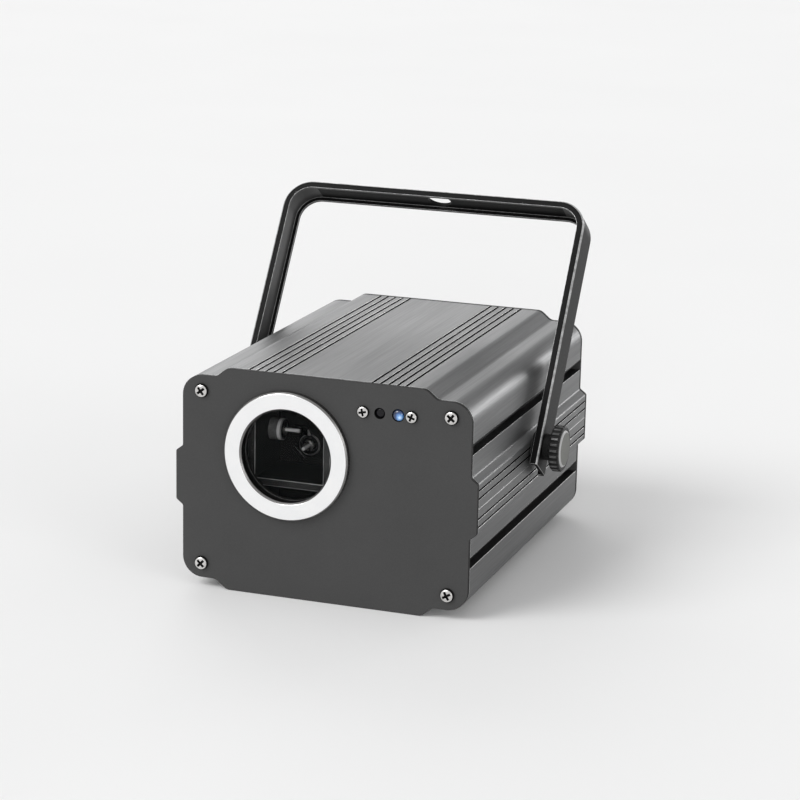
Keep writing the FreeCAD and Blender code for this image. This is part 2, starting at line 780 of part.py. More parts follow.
def make_sensor_board():
    """A small board behind the front panel with the remote receiver and the lamp in their holes."""
    board_face = f"{FRONT_SEAT} + sensor_standoff_length"
    width = "sensor_screw_spacing + 2 * sensor_board_margin"
    middle = f"{SENSOR_RIGHT} - sensor_screw_spacing / 2"
    board = block((width, "sensor_board_thick", "sensor_board_height"), (middle, board_face, SENSOR_Z), "xz")
    ends = (SENSOR_LEFT, SENSOR_RIGHT)
    hole = "sensor_screw_radius + seat_fit"
    holes = [rod("+y", hole, "sensor_board_thick + overrun", (x, f"{board_face} - overrun / 2", SENSOR_Z))
             for x in ends]
    node("sensor_board", cut(board, *holes))
    pattern = screw("sensor_screw_radius", "sensor_screw_length", "sensor_head_radius", "sensor_head_height")
    node("sensor_board_screws", group(*[copy(pattern, (x, FRONT, SENSOR_Z), TURNS["+y"]) for x in ends]))
    lens = rod("-y", "receiver_lens_radius", "receiver_depth + receiver_lens_length",
               (RECEIVER_X, board_face, SENSOR_Z))
    case = block(("receiver_width", "receiver_depth", "receiver_height"),
                 (RECEIVER_X, f"{board_face} - receiver_depth", SENSOR_Z), "xz")
    node("ir_receiver", fuse(case, lens))
    barrel_end = "led_flange_thick + led_barrel_length"
    lamp = turned([
        ("0", "0"),
        ("0", "led_flange_radius"),
        ("led_flange_thick", "led_flange_radius"),
        ("led_flange_thick", "led_radius"),
        (barrel_end, "led_radius"),
        (f"{barrel_end} + led_dome_height / 2", "led_radius * cos(30)"),
        (f"{barrel_end} + led_dome_height * cos(30)", "led_radius / 2"),
        (f"{barrel_end} + led_dome_height", "0"),
    ], "-y")
    node("indicator_led", place(lamp, LED_X, board_face, SENSOR_Z))
    return [standoff("+y", "sensor_standoff_radius", "sensor_screw_radius", "sensor_standoff_length",
                     (x, FRONT_SEAT, SENSOR_Z)) for x in ends]


def standoff(direction, radius, bore, length, at):
    """A round spacer with a threaded hole right through it."""
    pipe = turned([
        ("0", f"{bore} + seat_fit"),
        ("0", radius),
        (length, radius),
        (length, f"{bore} + seat_fit"),
    ], direction)
    return place(pipe, *at)


def bracket_bar(outside, inside, width):
    """A flat strip bent to a U, between two offsets from the bracket's outer face."""
    half = BRACKET_SIDE
    outer = [(f"{half} - {outside}", "-bracket_tail"), (f"{half} - {outside}", f"bracket_reach - {outside}")]
    inner = [(f"{half} - ({inside})", "-bracket_tail"),
             (f"{half} - ({inside})", f"bracket_reach - ({inside})")]
    bar = prism("XZ_Plane", outer + mirrored(outer) + mirrored(inner)[::-1] + inner[::-1], width, True)
    round_long_edges(bar, outer[1:] + mirrored(outer[1:]), f"bracket_bend - {outside}")
    round_long_edges(bar, inner[1:] + mirrored(inner[1:]), f"bracket_bend - ({inside})")
    return bar


def round_bracket_edges(bar):
    """Round the outer edges of the bent strip, from one arm's end over the top to the other."""
    doc.recompute()
    solid = bar.Tip
    limit = number(f"{BRACKET_SIDE} - bracket_bend")
    rise = number("bracket_reach - bracket_bend")
    outer = number("bracket_bend - bracket_lip / 2")
    edge_y = number("bracket_strip / 2")
    names = []
    for index, edge in enumerate(solid.Shape.Edges, 1):
        middle = edge.valueAt((edge.FirstParameter + edge.LastParameter) / 2)
        flat = edge.BoundBox.YLength < TOUCH and abs(abs(middle.y) - edge_y) < TOUCH
        over_x = max(abs(middle.x) - limit, 0)
        over_z = max(middle.z - rise, 0)
        if flat and Vector(over_x, 0, over_z).Length > outer:
            names.append(f"Edge{index}")
    ends = [name for name in names
            if abs(solid.Shape.getElement(name).BoundBox.ZMax + number("bracket_tail")) < TOUCH]
    rounding = bar.newObject("PartDesign::Fillet", "edge_rounding")
    rounding.Base = (solid, [name for name in names if name not in ends])
    rounding.setExpression("Radius", bound("bracket_edge_round"))


def make_bracket():
    """A pressed channel bent to a U, leaning back about its pivots, with the hanging hole in its top bar."""
    bar = bracket_bar("0", "bracket_lip", "bracket_strip")
    round_bracket_edges(bar)
    channel = bracket_bar("bracket_sheet", "bracket_lip + overrun", "bracket_strip - 2 * bracket_sheet")
    pivot = rod("+x", "stud_radius + pivot_clearance", f"2 * {BRACKET_SIDE} + overrun",
                (f"-{BRACKET_SIDE} - overrun / 2", "0", "0"))
    hanging = rod("+z", "hanging_hole_radius", "bracket_sheet + overrun",
                  ("0", "0", "bracket_reach - bracket_sheet - overrun / 2"))
    bracket = cut(bar, channel, pivot, hanging)
    bracket.Placement = Placement(Vector(), Rotation(Vector(-1, 0, 0), number("bracket_lean_angle")))
    bracket.setExpression("Placement.Rotation.Angle", bound("bracket_lean_angle"))
    node("bracket", place(bracket, y=PIVOT_Y, z=PIVOT_Z))


def make_pivot():
    """Threaded inserts in the shell's sides and the washers that space the bracket's arms from it."""
    bore = "stud_radius + running_fit"
    insert = turned([
        ("band_width / 2 - wall - insert_flange_thick", bore),
        ("band_width / 2 - wall - insert_flange_thick", "insert_flange_radius"),
        ("band_width / 2 - wall", "insert_flange_radius"),
        ("band_width / 2 - wall", "insert_radius"),
        ("band_width / 2", "insert_radius"),
        ("band_width / 2", bore),
    ])
    washer_end = f"{BRACKET_SIDE} - bracket_sheet - pivot_gap"
    washer = turned([
        ("band_width / 2", "stud_radius + pivot_clearance"),
        ("band_width / 2", "friction_washer_radius"),
        (washer_end, "friction_washer_radius"),
        (washer_end, "stud_radius + pivot_clearance"),
    ])
    at = ("0", PIVOT_Y, PIVOT_Z)
    for label, piece in (("pivot_inserts", insert), ("friction_washers", washer)):
        node(label, group(*[copy(piece, at, TURNS[side]) for side in ("+x", "-x")]))


def make_knobs():
    """Clamp knobs: a fluted grip with a capped face, on a threaded stud."""
    start = f"{BRACKET_SIDE} + pivot_gap"
    back = f"{start} + knob_neck_length"
    face = f"{back} + knob_thick"
    hole_end = f"{start} + stud_in_knob_length + running_fit"
    cap_seat = f"{face} - knob_cap_thick"
    at = ("0", PIVOT_Y, PIVOT_Z)
    for label, side in (("left", "-x"), ("right", "+x")):
        blank = turned([
            (start, "stud_radius + running_fit"),
            (start, "knob_neck_radius"),
            (back, "knob_neck_radius"),
            (back, "knob_radius - knob_edge"),
            (f"{back} + knob_edge", "knob_radius"),
            (f"{face} - knob_edge", "knob_radius"),
            (face, "knob_radius - knob_edge"),
            (face, "knob_cap_radius + seat_fit"),
            (cap_seat, "knob_cap_radius + seat_fit"),
            (cap_seat, "0"),
            (hole_end, "0"),
            (hole_end, "stud_radius + running_fit"),
        ])
        flutes = []
        for index in range(KNOB_FLUTES):
            angle = index * 360 / KNOB_FLUTES
            spot = (f"{back} - overrun", f"knob_flute_ring * cos({angle})", f"knob_flute_ring * sin({angle})")
            flutes.append(rod("+x", "knob_flute_radius", "knob_thick + 2 * overrun", spot))
        cap = turned([
            (cap_seat, "0"),
            (cap_seat, "knob_cap_radius"),
            (face, "knob_cap_radius"),
            (f"{face} + knob_cap_crown", "knob_cap_radius - 2 * knob_cap_crown"),
            (f"{face} + knob_cap_crown", "0"),
        ])
        stud = rod("+x", "stud_radius",
                   f"{start} + stud_in_knob_length - band_width / 2 + stud_inside_length",
                   ("band_width / 2 - stud_inside_length", "0", "0"))
        for name, piece in (("grip", cut(blank, *flutes)), ("cap", cap), ("stud", stud)):
            node(f"knob_{name}_{label}", group(copy(piece, at, TURNS[side])))


def plan_corners(width, length, inset, x, y):
    """Four hole places of a board that lies flat."""
    across = f"(({width}) / 2 - {inset})"
    along = f"(({length}) / 2 - {inset})"
    return [(f"{x} {a} {across}", f"{y} {b} {along}") for a in "+-" for b in "+-"]


def mount_screw_places():
    """Two screws down through the scanner mount's foot."""
    y = f"{FRONT} + (mount_front_depth + mount_back_depth) / 2"
    return [(f"{MOUNT_LEFT} + mount_screw_inset", y), (f"{MOUNT_RIGHT} - mount_screw_inset", y)]


def clamp_screw_places():
    """Two screws up into the laser clamp."""
    y = f"{LASER_FRONT} + clamp_setback + clamp_length / 2"
    return [(f"{LASER_X} {side} under_screw_spacing / 2", y) for side in "+-"]


def fold_screw_place():
    """One screw up into the post of the fold mirror."""
    back = "(fold_mirror_thick + fold_post_thick / 2)"
    return (f"{LASER_X} + {back} * sin(fold_turn_angle)", f"{SCAN_Y} - {back} * cos(fold_turn_angle)")


def make_bench():
    """The plate on four standoffs that carries the scanner and the laser."""
    middle = f"{BENCH_FRONT} + bench_length / 2"
    width = f"2 * {BENCH_SIDE}"
    corners = plan_corners(width, "bench_length", "bench_screw_inset", "0", middle)
    under = clamp_screw_places() + [fold_screw_place()]
    low = "wall + standoff_height"
    plate = block((width, "bench_length", "bench_thick"), ("0", middle, low))
    hole = "screw_radius + seat_fit"
    holes = [rod("+z", hole, "bench_thick + overrun", (x, y, f"{low} - overrun / 2"))
             for x, y in corners + mount_screw_places() + under]
    node("optics_plate", cut(plate, *holes))
    pattern = screw("screw_radius", "bench_screw_length", "screw_head_radius", "screw_head_height")
    screws = [copy(pattern, (x, y, BENCH_TOP), TURNS["-z"]) for x, y in corners]
    screws += [copy(pattern, (x, y, f"{BENCH_TOP} + mount_wall"), TURNS["-z"])
               for x, y in mount_screw_places()]
    screws += [copy(pattern, (x, y, low), TURNS["+z"]) for x, y in under]
    node("bench_screws", group(*screws))
    return [standoff("+z", "standoff_radius", "screw_radius", "standoff_height", (x, y, "wall"))
            for x, y in corners]


def make_scanner_mount():
    """A black box open to the front: foot, shelf, back and two sides, with seats for both motors."""
    width = "mount_width"
    middle = f"{MOUNT_LEFT} + mount_width / 2"
    deep = "mount_back_depth - mount_front_depth"
    front = f"{FRONT} + mount_front_depth"
    top = f"{WINDOW_Z} + mount_top_rise"
    tall = f"{top} - ({BENCH_TOP})"
    side = ("mount_wall", deep, tall)
    parts = [
        block((width, deep, "mount_wall"), (middle, front, BENCH_TOP), "x"),
        block((width, deep, "mount_wall"), (middle, front, f"{MOUNT_SHELF} - mount_wall"), "x"),
        block((width, "mount_wall", tall), (middle, f"{MOUNT_BACK} - mount_wall", BENCH_TOP), "x"),
        block(side, (MOUNT_LEFT, front, BENCH_TOP), ""),
        block(side, (f"{MOUNT_RIGHT} - mount_wall", front, BENCH_TOP), ""),
    ]
    seat = "motor_radius + seat_fit"
    through = "mount_wall + overrun"
    holes = [
        rod("+x", seat, through, (f"{MOUNT_LEFT} - overrun / 2", SCAN_Y, TILT_Z)),
        rod("-y", seat, through, (SCAN_X, f"{MOUNT_BACK} + overrun / 2", PAN_Z)),
        rod("+x", "beam_hole_radius", through, (f"{MOUNT_RIGHT} - mount_wall - overrun / 2", SCAN_Y, PAN_Z)),
    ]
    holes += [rod("+z", "screw_radius + seat_fit", through, (x, y, f"{BENCH_TOP} - overrun / 2"))
              for x, y in mount_screw_places()]
    node("scanner_mount", cut(fuse(*parts), *holes))


def make_scan_motor(label, direction, x, y, z, lean):
    """A small motor, its shaft and its mirror along +X of its own frame, then turned to its seat.

    The mirror's middle is on the beam, and the motor's face stands the motor reach behind it."""
    face = "-motor_reach"
    body = turned([
        (f"{face} - motor_length", "0"),
        (f"{face} - motor_length", "motor_radius"),
        (face, "motor_radius"),
        (face, "motor_nose_radius"),
        (f"{face} + motor_nose_length", "motor_nose_radius"),
        (f"{face} + motor_nose_length", "shaft_radius + running_fit"),
        (f"{face} - shaft_depth - running_fit", "shaft_radius + running_fit"),
        (f"{face} - shaft_depth - running_fit", "0"),
    ])
    edge = "-scan_mirror_length / 2"
    shaft = rod("+x", "shaft_radius", f"motor_reach + shaft_depth {edge} + mirror_grip",
                (f"{face} - shaft_depth", "0", "0"))
    plate = block(("scan_mirror_length", "scan_mirror_width", "scan_mirror_thick"), ("0", "0", "0"))
    slot = block(("scan_mirror_length", "scan_mirror_width", "scan_mirror_thick + 2 * seat_fit"),
                 (f"{edge} - seat_fit", "0", "-seat_fit"), "y")
    turn = TURNS[direction]
    tilt = turn.multiply(Rotation(Vector(1, 0, 0), number(lean)))
    node(f"{label}_motor", group(copy(body, (x, y, z), turn)))
    node(f"{label}_shaft", group(copy(cut(shaft, slot), (x, y, z), tilt)))
    node(f"{label}_mirror", group(copy(plate, (x, y, z), tilt)))


def make_laser():
    """A laser barrel in a clamp block, its heat sink, and the mirror that folds its beam to the scanner."""
    back = f"{LASER_FRONT} + laser_length"
    barrel = rod("+y", "laser_radius", "laser_length", (LASER_X, LASER_FRONT, PAN_Z))
    bore = rod("+y", "laser_bore_radius", "laser_bore_depth + overrun",
               (LASER_X, f"{LASER_FRONT} - overrun", PAN_Z))
    node("laser_module", cut(barrel, bore))
    low = f"{PAN_Z} + laser_radius + clamp_top_wall - ({BENCH_TOP})"
    clamp = block(("clamp_width", "clamp_length", low),
                  (LASER_X, f"{LASER_FRONT} + clamp_setback", BENCH_TOP), "x")
    seat = rod("+y", "laser_radius + seat_fit", "clamp_length + overrun",
               (LASER_X, f"{LASER_FRONT} + clamp_setback - overrun / 2", PAN_Z))
    thread = ("screw_radius + seat_fit", "bench_screw_length")
    threads = [rod("+z", *thread, (x, y, f"{BENCH_TOP} - overrun")) for x, y in clamp_screw_places()]
    node("laser_clamp", cut(clamp, seat, *threads))
    plate = ("heat_sink_width", "heat_sink_base", "heat_sink_height")
    sink = [block(plate, (LASER_X, back, PAN_Z), "xz")]
    for index in range(HEAT_SINK_FINS):
        offset = f"(heat_sink_width - heat_sink_fin_thick) * {index / (HEAT_SINK_FINS - 1) - 0.5}"
        fin = ("heat_sink_fin_thick", "heat_sink_fin_length", "heat_sink_height")
        sink.append(block(fin, (f"{LASER_X} + {offset}", f"{back} + heat_sink_base", PAN_Z), "xz"))
    node("laser_heat_sink", fuse(*sink))
    at = (LASER_X, SCAN_Y, "0")
    size = "fold_mirror_size"
    mirror = block((size, "fold_mirror_thick", size), ("0", "-fold_mirror_thick", PAN_Z), "xz")
    tall = f"{PAN_Z} + {size} / 2 - ({BENCH_TOP})"
    post = block((size, "fold_post_thick", tall), ("0", "-fold_mirror_thick - fold_post_thick", BENCH_TOP),
                 "x")
    post = cut(post,
               rod("+z", *thread,
                   ("0", "-fold_mirror_thick - fold_post_thick / 2", f"{BENCH_TOP} - overrun")))
    for label, piece in (("fold_mirror", mirror), ("fold_mirror_post", post)):
        swung = group(piece)
        swung.Placement = Placement(Vector(), Rotation(Vector(0, 0, 1), number("fold_turn_angle")))
        swung.setExpression("Placement.Rotation.Angle", bound("fold_turn_angle"))
        node(label, place(swung, *at))


def flat_board(width, length, x, y, low):
    """A bare board that lies flat, with a hole in each corner."""
    places = plan_corners(width, length, "board_hole_inset", x, y)
    hole = "board_screw_radius + seat_fit"
    holes = [rod("+z", hole, "board_thick + overrun", (a, b, f"{low} - overrun / 2")) for a, b in places]
    return cut(block((width, length, "board_thick"), (x, y, low)), *holes), places


def make_boards():
    """The driver and power boards behind the bench, and the control board behind the rear panel."""
    y = f"{BENCH_FRONT} + bench_length + board_gap + board_length / 2"
    low = "wall + standoff_height"
    width = f"({BENCH_SIDE} - board_gap)"
    middle = f"(({BENCH_SIDE} + board_gap) / 2)"
    driver, driver_places = flat_board(width, "board_length", f"-{middle}", y, low)
    node("driver_board", driver)
    power, power_places = flat_board(width, "board_length", middle, y, low)
    node("power_board", power)
    board_y = f"{REAR_SEAT} - control_board_gap - board_thick"
    control = block(("control_board_width", "board_thick", "control_board_height"),
                    ("control_board_x", board_y, "control_board_z"), "xz")
    across = "(control_board_width / 2 - board_hole_inset)"
    up = "(control_board_height / 2 - board_hole_inset)"
    control_places = [(f"control_board_x {a} {across}", f"control_board_z {b} {up}")
                      for a in "+-" for b in "+-"]
    hole = "board_screw_radius + seat_fit"
    holes = [rod("+y", hole, "board_thick + overrun", (x, f"{board_y} - overrun / 2", z))
             for x, z in control_places]
    node("control_board", cut(control, *holes))
    pattern = screw("board_screw_radius", "board_screw_length", "board_head_radius", "board_head_height")
    flat_places = driver_places + power_places
    screws = [copy(pattern, (a, b, f"{low} + board_thick"), TURNS["-z"]) for a, b in flat_places]
    screws += [copy(pattern, (x, board_y, z), TURNS["+y"]) for x, z in control_places]
    node("board_screws", group(*screws))
    make_board_parts(middle, y, f"{low} + board_thick")
    radius = "board_standoff_radius"
    bore = "board_screw_radius"
    legs = [standoff("+z", radius, bore, "standoff_height", (a, b, "wall")) for a, b in flat_places]
    legs += [standoff("-y", radius, bore, "control_board_gap", (x, REAR_SEAT, z)) for x, z in control_places]
    return legs


def make_board_parts(middle, y, top):
    """What stands on the boards: chip, connector, transformer, capacitor and the menu buttons' cans."""
    parts = [
        block(("chip_width", "chip_width", "chip_height"), (f"-{middle}", y, top)),
        block(("connector_width", "connector_depth", "connector_height"),
              (f"-{middle}", f"{y} + board_length / 2 - connector_depth", top)),
        block(("transformer_width", "transformer_length", "transformer_height"), (middle, y, top)),
        rod("+z", "capacitor_radius", "capacitor_height",
            (f"{middle} + transformer_width / 2 + capacitor_radius + board_gap", y, top)),
    ]
    can_low = f"{REAR_SEAT} - control_board_gap"
    for index in range(MENU_BUTTONS):
        can = block(("switch_can_width", "switch_can_depth", "switch_can_width"),
                    (button_x(index), can_low, BUTTON_Z), "xz")
        well = rod("-y", "button_stem_radius + button_clearance", "switch_well_depth + overrun",
                   (button_x(index), f"{can_low} + switch_can_depth + overrun", BUTTON_Z))
        parts.append(cut(can, well))
    node("board_components", group(*parts))


def make_menu():
    """The display in its window and the four buttons below it."""
    low = f"{REAR_SEAT} - control_board_gap"
    deep = "control_board_gap + panel_thick - display_recess"
    node("menu_display",
         block(("display_width", deep, "display_height"), ("control_board_x", low, DISPLAY_Z), "xz"))
    stem_start = f"{low} + switch_can_depth - switch_well_depth + button_travel + running_fit"
    flange_end = f"{REAR_SEAT} - button_flange_gap"
    for index in range(MENU_BUTTONS):
        button = turned([
            (stem_start, "0"),
            (stem_start, "button_stem_radius"),
            (f"{flange_end} - button_flange_thick", "button_stem_radius"),
            (f"{flange_end} - button_flange_thick", "button_flange_radius"),
            (flange_end, "button_flange_radius"),
            (flange_end, "button_radius"),
            (f"{REAR} + button_proud", "button_radius"),
            (f"{REAR} + button_proud", "0"),
        ], "+y")
        node(f"menu_button_{index + 1}", place(button, button_x(index), "0", BUTTON_Z))


def spun(pattern, count):
    """Copies of one piece turned about the Y axis."""
    return [copy(pattern, ("0", "0", "0"), Rotation(Vector(0, 1, 0), index * 360 / count))
            for index in range(count)]


def make_fan():
    """A square fan behind the rear panel, its rotor on a shaft in the hub, and the wire guard outside."""
    at = ("fan_x", f"{REAR_SEAT} - fan_depth", "fan_z")
    frame = block(("fan_size", "fan_depth", "fan_size"), ("0", "0", "0"), "xz")
    bore = rod("+y", "fan_bore_radius", "fan_depth + overrun", ("0", "-overrun / 2", "0"))
    half = "fan_screw_pitch / 2"
    screw_bore = "screw_radius + seat_fit"
    holes = [rod("+y", screw_bore, "fan_depth + overrun", (f"{a}{half}", "-overrun / 2", f"{b}{half}"))
             for a in ("", "-") for b in ("", "-")]
    hub = rod("+y", "fan_hub_radius", "fan_plate_thick", ("0", "0", "0"))
    strut = block(("(fan_size / 2 + fan_bore_radius) / 2", "fan_plate_thick", "fan_strut_width"),
                  ("0", "0", "0"), "z")
    bearing = rod("+y", "fan_shaft_radius + running_fit", "fan_plate_thick + overrun",
                  ("0", "-overrun / 2", "0"))
    spider = fuse(cut(frame, bore, *holes), hub, *spun(strut, FAN_STRUTS))
    node("fan_frame", place(cut(spider, bearing), *at))
    hub_start = "fan_plate_thick + fan_rotor_gap"
    hub_end = "fan_depth - fan_rotor_setback"
    cup = turned([
        ("0", "0"),
        ("0", "fan_shaft_radius"),
        (hub_start, "fan_shaft_radius"),
        (hub_start, "fan_hub_radius"),
        (hub_end, "fan_hub_radius"),
        (hub_end, "0"),
    ], "+y")
    root = "fan_hub_radius - fan_blade_root_sink"
    blade = block(("fan_blade_tip_radius - (" + root + ")", "fan_blade_chord", "fan_blade_thick"),
                  ("0", "0", "0"), "")
    blade.Placement = Placement(Vector(), Rotation(Vector(1, 0, 0), number("fan_blade_angle")))
    blade.setExpression("Placement.Rotation.Angle", bound("fan_blade_angle"))
    turn = "fan_blade_angle"
    middle = f"({hub_start} + {hub_end}) / 2"
    place(blade, root,
          f"{middle} - fan_blade_chord / 2 * cos({turn}) + fan_blade_thick / 2 * sin({turn})",
          f"-fan_blade_chord / 2 * sin({turn}) - fan_blade_thick / 2 * cos({turn})")
    node("fan_rotor", place(fuse(cup, *spun(blade, FAN_BLADES)), *at))
    make_fan_guard()
    pattern = screw("screw_radius", "fan_screw_length", "screw_head_radius", "screw_head_height")
    seat = f"{REAR} + guard_lug_thick"
    node("fan_screws", group(*[copy(pattern, (x, seat, z), TURNS["-y"]) for x, z in fan_screw_places()]))


def make_fan_guard():
    """Wire rings on four wires that run from a hub to flat lugs under the fan screws."""
    level = "guard_lug_thick / 2"
    wires = [rod("+y", "guard_hub_radius", "guard_lug_thick", ("0", "0", "0"))]
    for share in GUARD_RING_SHARES:
        ring = doc.addObject("Part::Torus", "ring")
        ring.setExpression("Radius1", bound(f"{share} * fan_bore_radius"))
        ring.setExpression("Radius2", bound("guard_ring_wire_radius"))
        ring.Placement = Placement(Vector(), Rotation(Vector(1, 0, 0), 90))
        wires.append(place(ring, "0", level, "0"))
    reach = "fan_screw_pitch / 2 * sqrt(2)"
    wire = rod("+x", "guard_wire_radius",
               f"{reach} - (guard_hub_radius + guard_lug_radius + screw_radius) / 2",
               ("guard_hub_radius / 2", level, "0"))
    lug = rod("+y", "guard_lug_radius", "guard_lug_thick", (reach, "0", "0"))
    hole = rod("+y", "screw_radius + screw_hole_clearance", "guard_lug_thick + overrun",
               (reach, "-overrun / 2", "0"))
    arm = cut(fuse(wire, lug), hole)
    arms = [copy(arm, ("0", "0", "0"), Rotation(Vector(0, 1, 0), (index + 0.5) * QUARTER_TURN))
            for index in range(4)]
    node("fan_guard", place(fuse(*wires, *arms), "fan_x", REAR, "fan_z"))


def make_power_inlet():
    """A flanged mains inlet: a cavity with three flat pins."""
    rim = "2 * inlet_flange_rim"
    outer = f"{REAR} + inlet_flange_thick"
    flange = block((f"inlet_width + {rim}", "inlet_flange_thick", f"inlet_height + {rim}"),
                   ("inlet_x", REAR, "inlet_z"), "xz")
    case = block(("inlet_width", "inlet_depth + panel_thick", "inlet_height"),
                 ("inlet_x", f"{REAR_SEAT} - inlet_depth", "inlet_z"), "xz")
    hollow = block(("inlet_width - 2 * inlet_wall", "inlet_cavity_depth + overrun",
                    "inlet_height - 2 * inlet_wall"),
                   ("inlet_x", f"{outer} - inlet_cavity_depth", "inlet_z"), "xz")
    node("power_inlet", cut(fuse(flange, case), hollow))
    floor = f"{outer} - inlet_cavity_depth"
    spots = [
        ("inlet_x - inlet_pin_spacing / 2", "inlet_z - inlet_line_drop"),
        ("inlet_x", "inlet_z + inlet_earth_rise - inlet_line_drop"),
        ("inlet_x + inlet_pin_spacing / 2", "inlet_z - inlet_line_drop"),
    ]
    size = ("inlet_pin_width", "inlet_pin_length", "inlet_pin_height")
    node("power_inlet_pins", group(*[block(size, (x, floor, z), "xz") for x, z in spots]))


def make_power_switch():
    """A rocker that tips in its case on two axle stubs, shown pressed to one side."""
    rim = "2 * switch_flange_rim"
    pivot_y = f"{REAR} - switch_pivot_sink"
    flange = block((f"switch_width + {rim}", "switch_flange_thick", f"switch_height + {rim}"),
                   ("switch_x", REAR, "switch_z"), "xz")
    case = block(("switch_width", "switch_depth + panel_thick", "switch_height"),
                 ("switch_x", f"{REAR_SEAT} - switch_depth", "switch_z"), "xz")
    hollow = block(("switch_width - 2 * switch_wall_x", "rocker_cavity_depth + switch_flange_thick + overrun",
                    "switch_height - 2 * switch_wall_z"),
                   ("switch_x", f"{pivot_y} - rocker_cavity_depth", "switch_z"), "xz")
    axle_hole = rod("+z", "rocker_axle_radius + running_fit", "switch_height - switch_wall_z",
                    ("switch_x", pivot_y, "switch_z - (switch_height - switch_wall_z) / 2"))
    node("power_switch_body", cut(fuse(flange, case), hollow, axle_hole))
    half = "rocker_width / 2"
    wedge = prism("XY_Plane", [
        (f"-{half}", "-rocker_keel"),
        (half, "-rocker_keel"),
        (half, "rocker_tip"),
        ("0", "rocker_valley"),
        (f"-{half}", "rocker_tip"),
    ], "rocker_height", True)
    long = "switch_height - switch_wall_z - 2 * running_fit"
    axle = rod("+z", "rocker_axle_radius", long, ("0", "0", f"-({long}) / 2"))
    rocker = fuse(wedge, axle)
    rocker.Placement = Placement(Vector(), Rotation(Vector(0, 0, 1), number("rocker_tilt_angle")))
    rocker.setExpression("Placement.Rotation.Angle", bound("rocker_tilt_angle"))
    node("power_switch_rocker", place(rocker, "switch_x", pivot_y, "switch_z"))


def make_socket():
    """The signal input: a square flange on a round case, and three pins in its deep bore."""
    flange = block(("socket_flange_width", "socket_flange_thick", "socket_flange_height"),
                   ("socket_x", REAR, "socket_z"), "xz")
    case = rod("+y", "socket_body_radius", "socket_body_depth + panel_thick",
               ("socket_x", f"{REAR_SEAT} - socket_body_depth", "socket_z"))
    floor = f"{REAR} + socket_flange_thick - socket_bore_depth"
    bore = rod("+y", "socket_bore_radius", "socket_bore_depth + overrun", ("socket_x", floor, "socket_z"))
    radius = "screw_radius + screw_hole_clearance"
    holes = [rod("+y", radius, "socket_flange_thick + panel_thick", (x, f"{REAR} - panel_thick / 2", z))
             for x, z in socket_screw_places()]
    node("signal_socket", cut(fuse(flange, case), bore, *holes))
    ring = "contact_ring_radius"
    spots = [(f"socket_x + {ring} * cos({angle})", f"socket_z + {ring} * sin({angle})")
             for angle in (30, 150, 270)]
    node("signal_contacts", group(*[rod("+y", "contact_radius", "contact_length", (x, floor, z))
                                    for x, z in spots]))


def write_parts():
    """Check every object, then write each piece to a file of its own."""
    doc.recompute()
    for thing in doc.Objects:
        if {"Invalid", "Error"} & set(thing.State):
            raise RuntimeError(f"{thing.Label} ({thing.Name}) is {thing.State}")
    for thing in nodes:
        if thing.Shape.isNull() or not thing.Shape.isValid() or not thing.Shape.Solids:
            raise RuntimeError(f"{thing.Label} has no valid shape")
    os.makedirs("parts", exist_ok=True)
    for thing in nodes:
        thing.Shape.exportStep(f"parts/{thing.Label}.step")
    print(len(nodes), "pieces written")


make_shells()
make_front_panel()
make_rear_panel()
make_panel_screws()
make_window()
sensor_legs = make_sensor_board()
make_bracket()
make_pivot()
make_knobs()
bench_legs = make_bench()
make_scanner_mount()
make_scan_motor("tilt", "+x", SCAN_X, SCAN_Y, TILT_Z, "-scan_lean_angle")
make_scan_motor("pan", "-y", SCAN_X, SCAN_Y, PAN_Z, "180 - scan_lean_angle")
make_laser()
board_legs = make_boards()
node("standoffs", group(*sensor_legs, *bench_legs, *board_legs))
make_menu()
make_fan()
make_power_inlet()
make_power_switch()
make_socket()
write_parts()
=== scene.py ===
import json
import math
import bpy
from mathutils import Matrix, Vector


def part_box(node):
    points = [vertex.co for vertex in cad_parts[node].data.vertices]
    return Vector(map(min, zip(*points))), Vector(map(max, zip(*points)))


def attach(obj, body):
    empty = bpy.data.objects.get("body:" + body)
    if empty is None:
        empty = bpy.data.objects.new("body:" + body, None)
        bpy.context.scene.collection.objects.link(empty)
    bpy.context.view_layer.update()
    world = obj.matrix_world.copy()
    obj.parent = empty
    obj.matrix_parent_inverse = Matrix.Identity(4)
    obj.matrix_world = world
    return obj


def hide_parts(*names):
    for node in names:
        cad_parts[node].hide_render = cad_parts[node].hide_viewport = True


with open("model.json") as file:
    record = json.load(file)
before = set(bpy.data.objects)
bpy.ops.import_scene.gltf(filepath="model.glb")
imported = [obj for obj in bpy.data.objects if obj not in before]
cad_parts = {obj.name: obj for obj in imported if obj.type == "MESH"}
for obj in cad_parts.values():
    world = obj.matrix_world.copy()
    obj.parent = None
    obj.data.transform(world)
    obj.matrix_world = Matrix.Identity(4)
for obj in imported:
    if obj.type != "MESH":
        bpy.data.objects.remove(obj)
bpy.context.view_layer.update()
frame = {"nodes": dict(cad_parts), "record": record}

MM = 0.001
# How near counts as touching or as one point, and which turns count as flat, smooth or straight
TOUCH = 0.02 * MM
WELD = 0.001 * MM
FINE_WELD = 0.0001 * MM
FLAT = math.radians(0.2)
SMOOTH = math.radians(35)
STRAIGHT = 0.99
RECORD = frame["record"]
BODY_OF = {n: body for body, members in RECORD["behaviour"]["bodies"].items() for n in members}
SLOT_OF = {part["node"]: part["material_slot"] for part in RECORD["subparts"]}


# Places and sizes on the projector, in millimetres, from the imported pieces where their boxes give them

def low(node):
    """A piece's lowest corner."""
    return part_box(node)[0] / MM


def high(node):
    """A piece's highest corner."""
    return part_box(node)[1] / MM


def middle(node):
    """The middle of a piece's box."""
    return (low(node) + high(node)) / 2


def spot(node):
    """Where the middle of a piece lies on the end plates."""
    centre = middle(node)
    return centre.x, centre.z


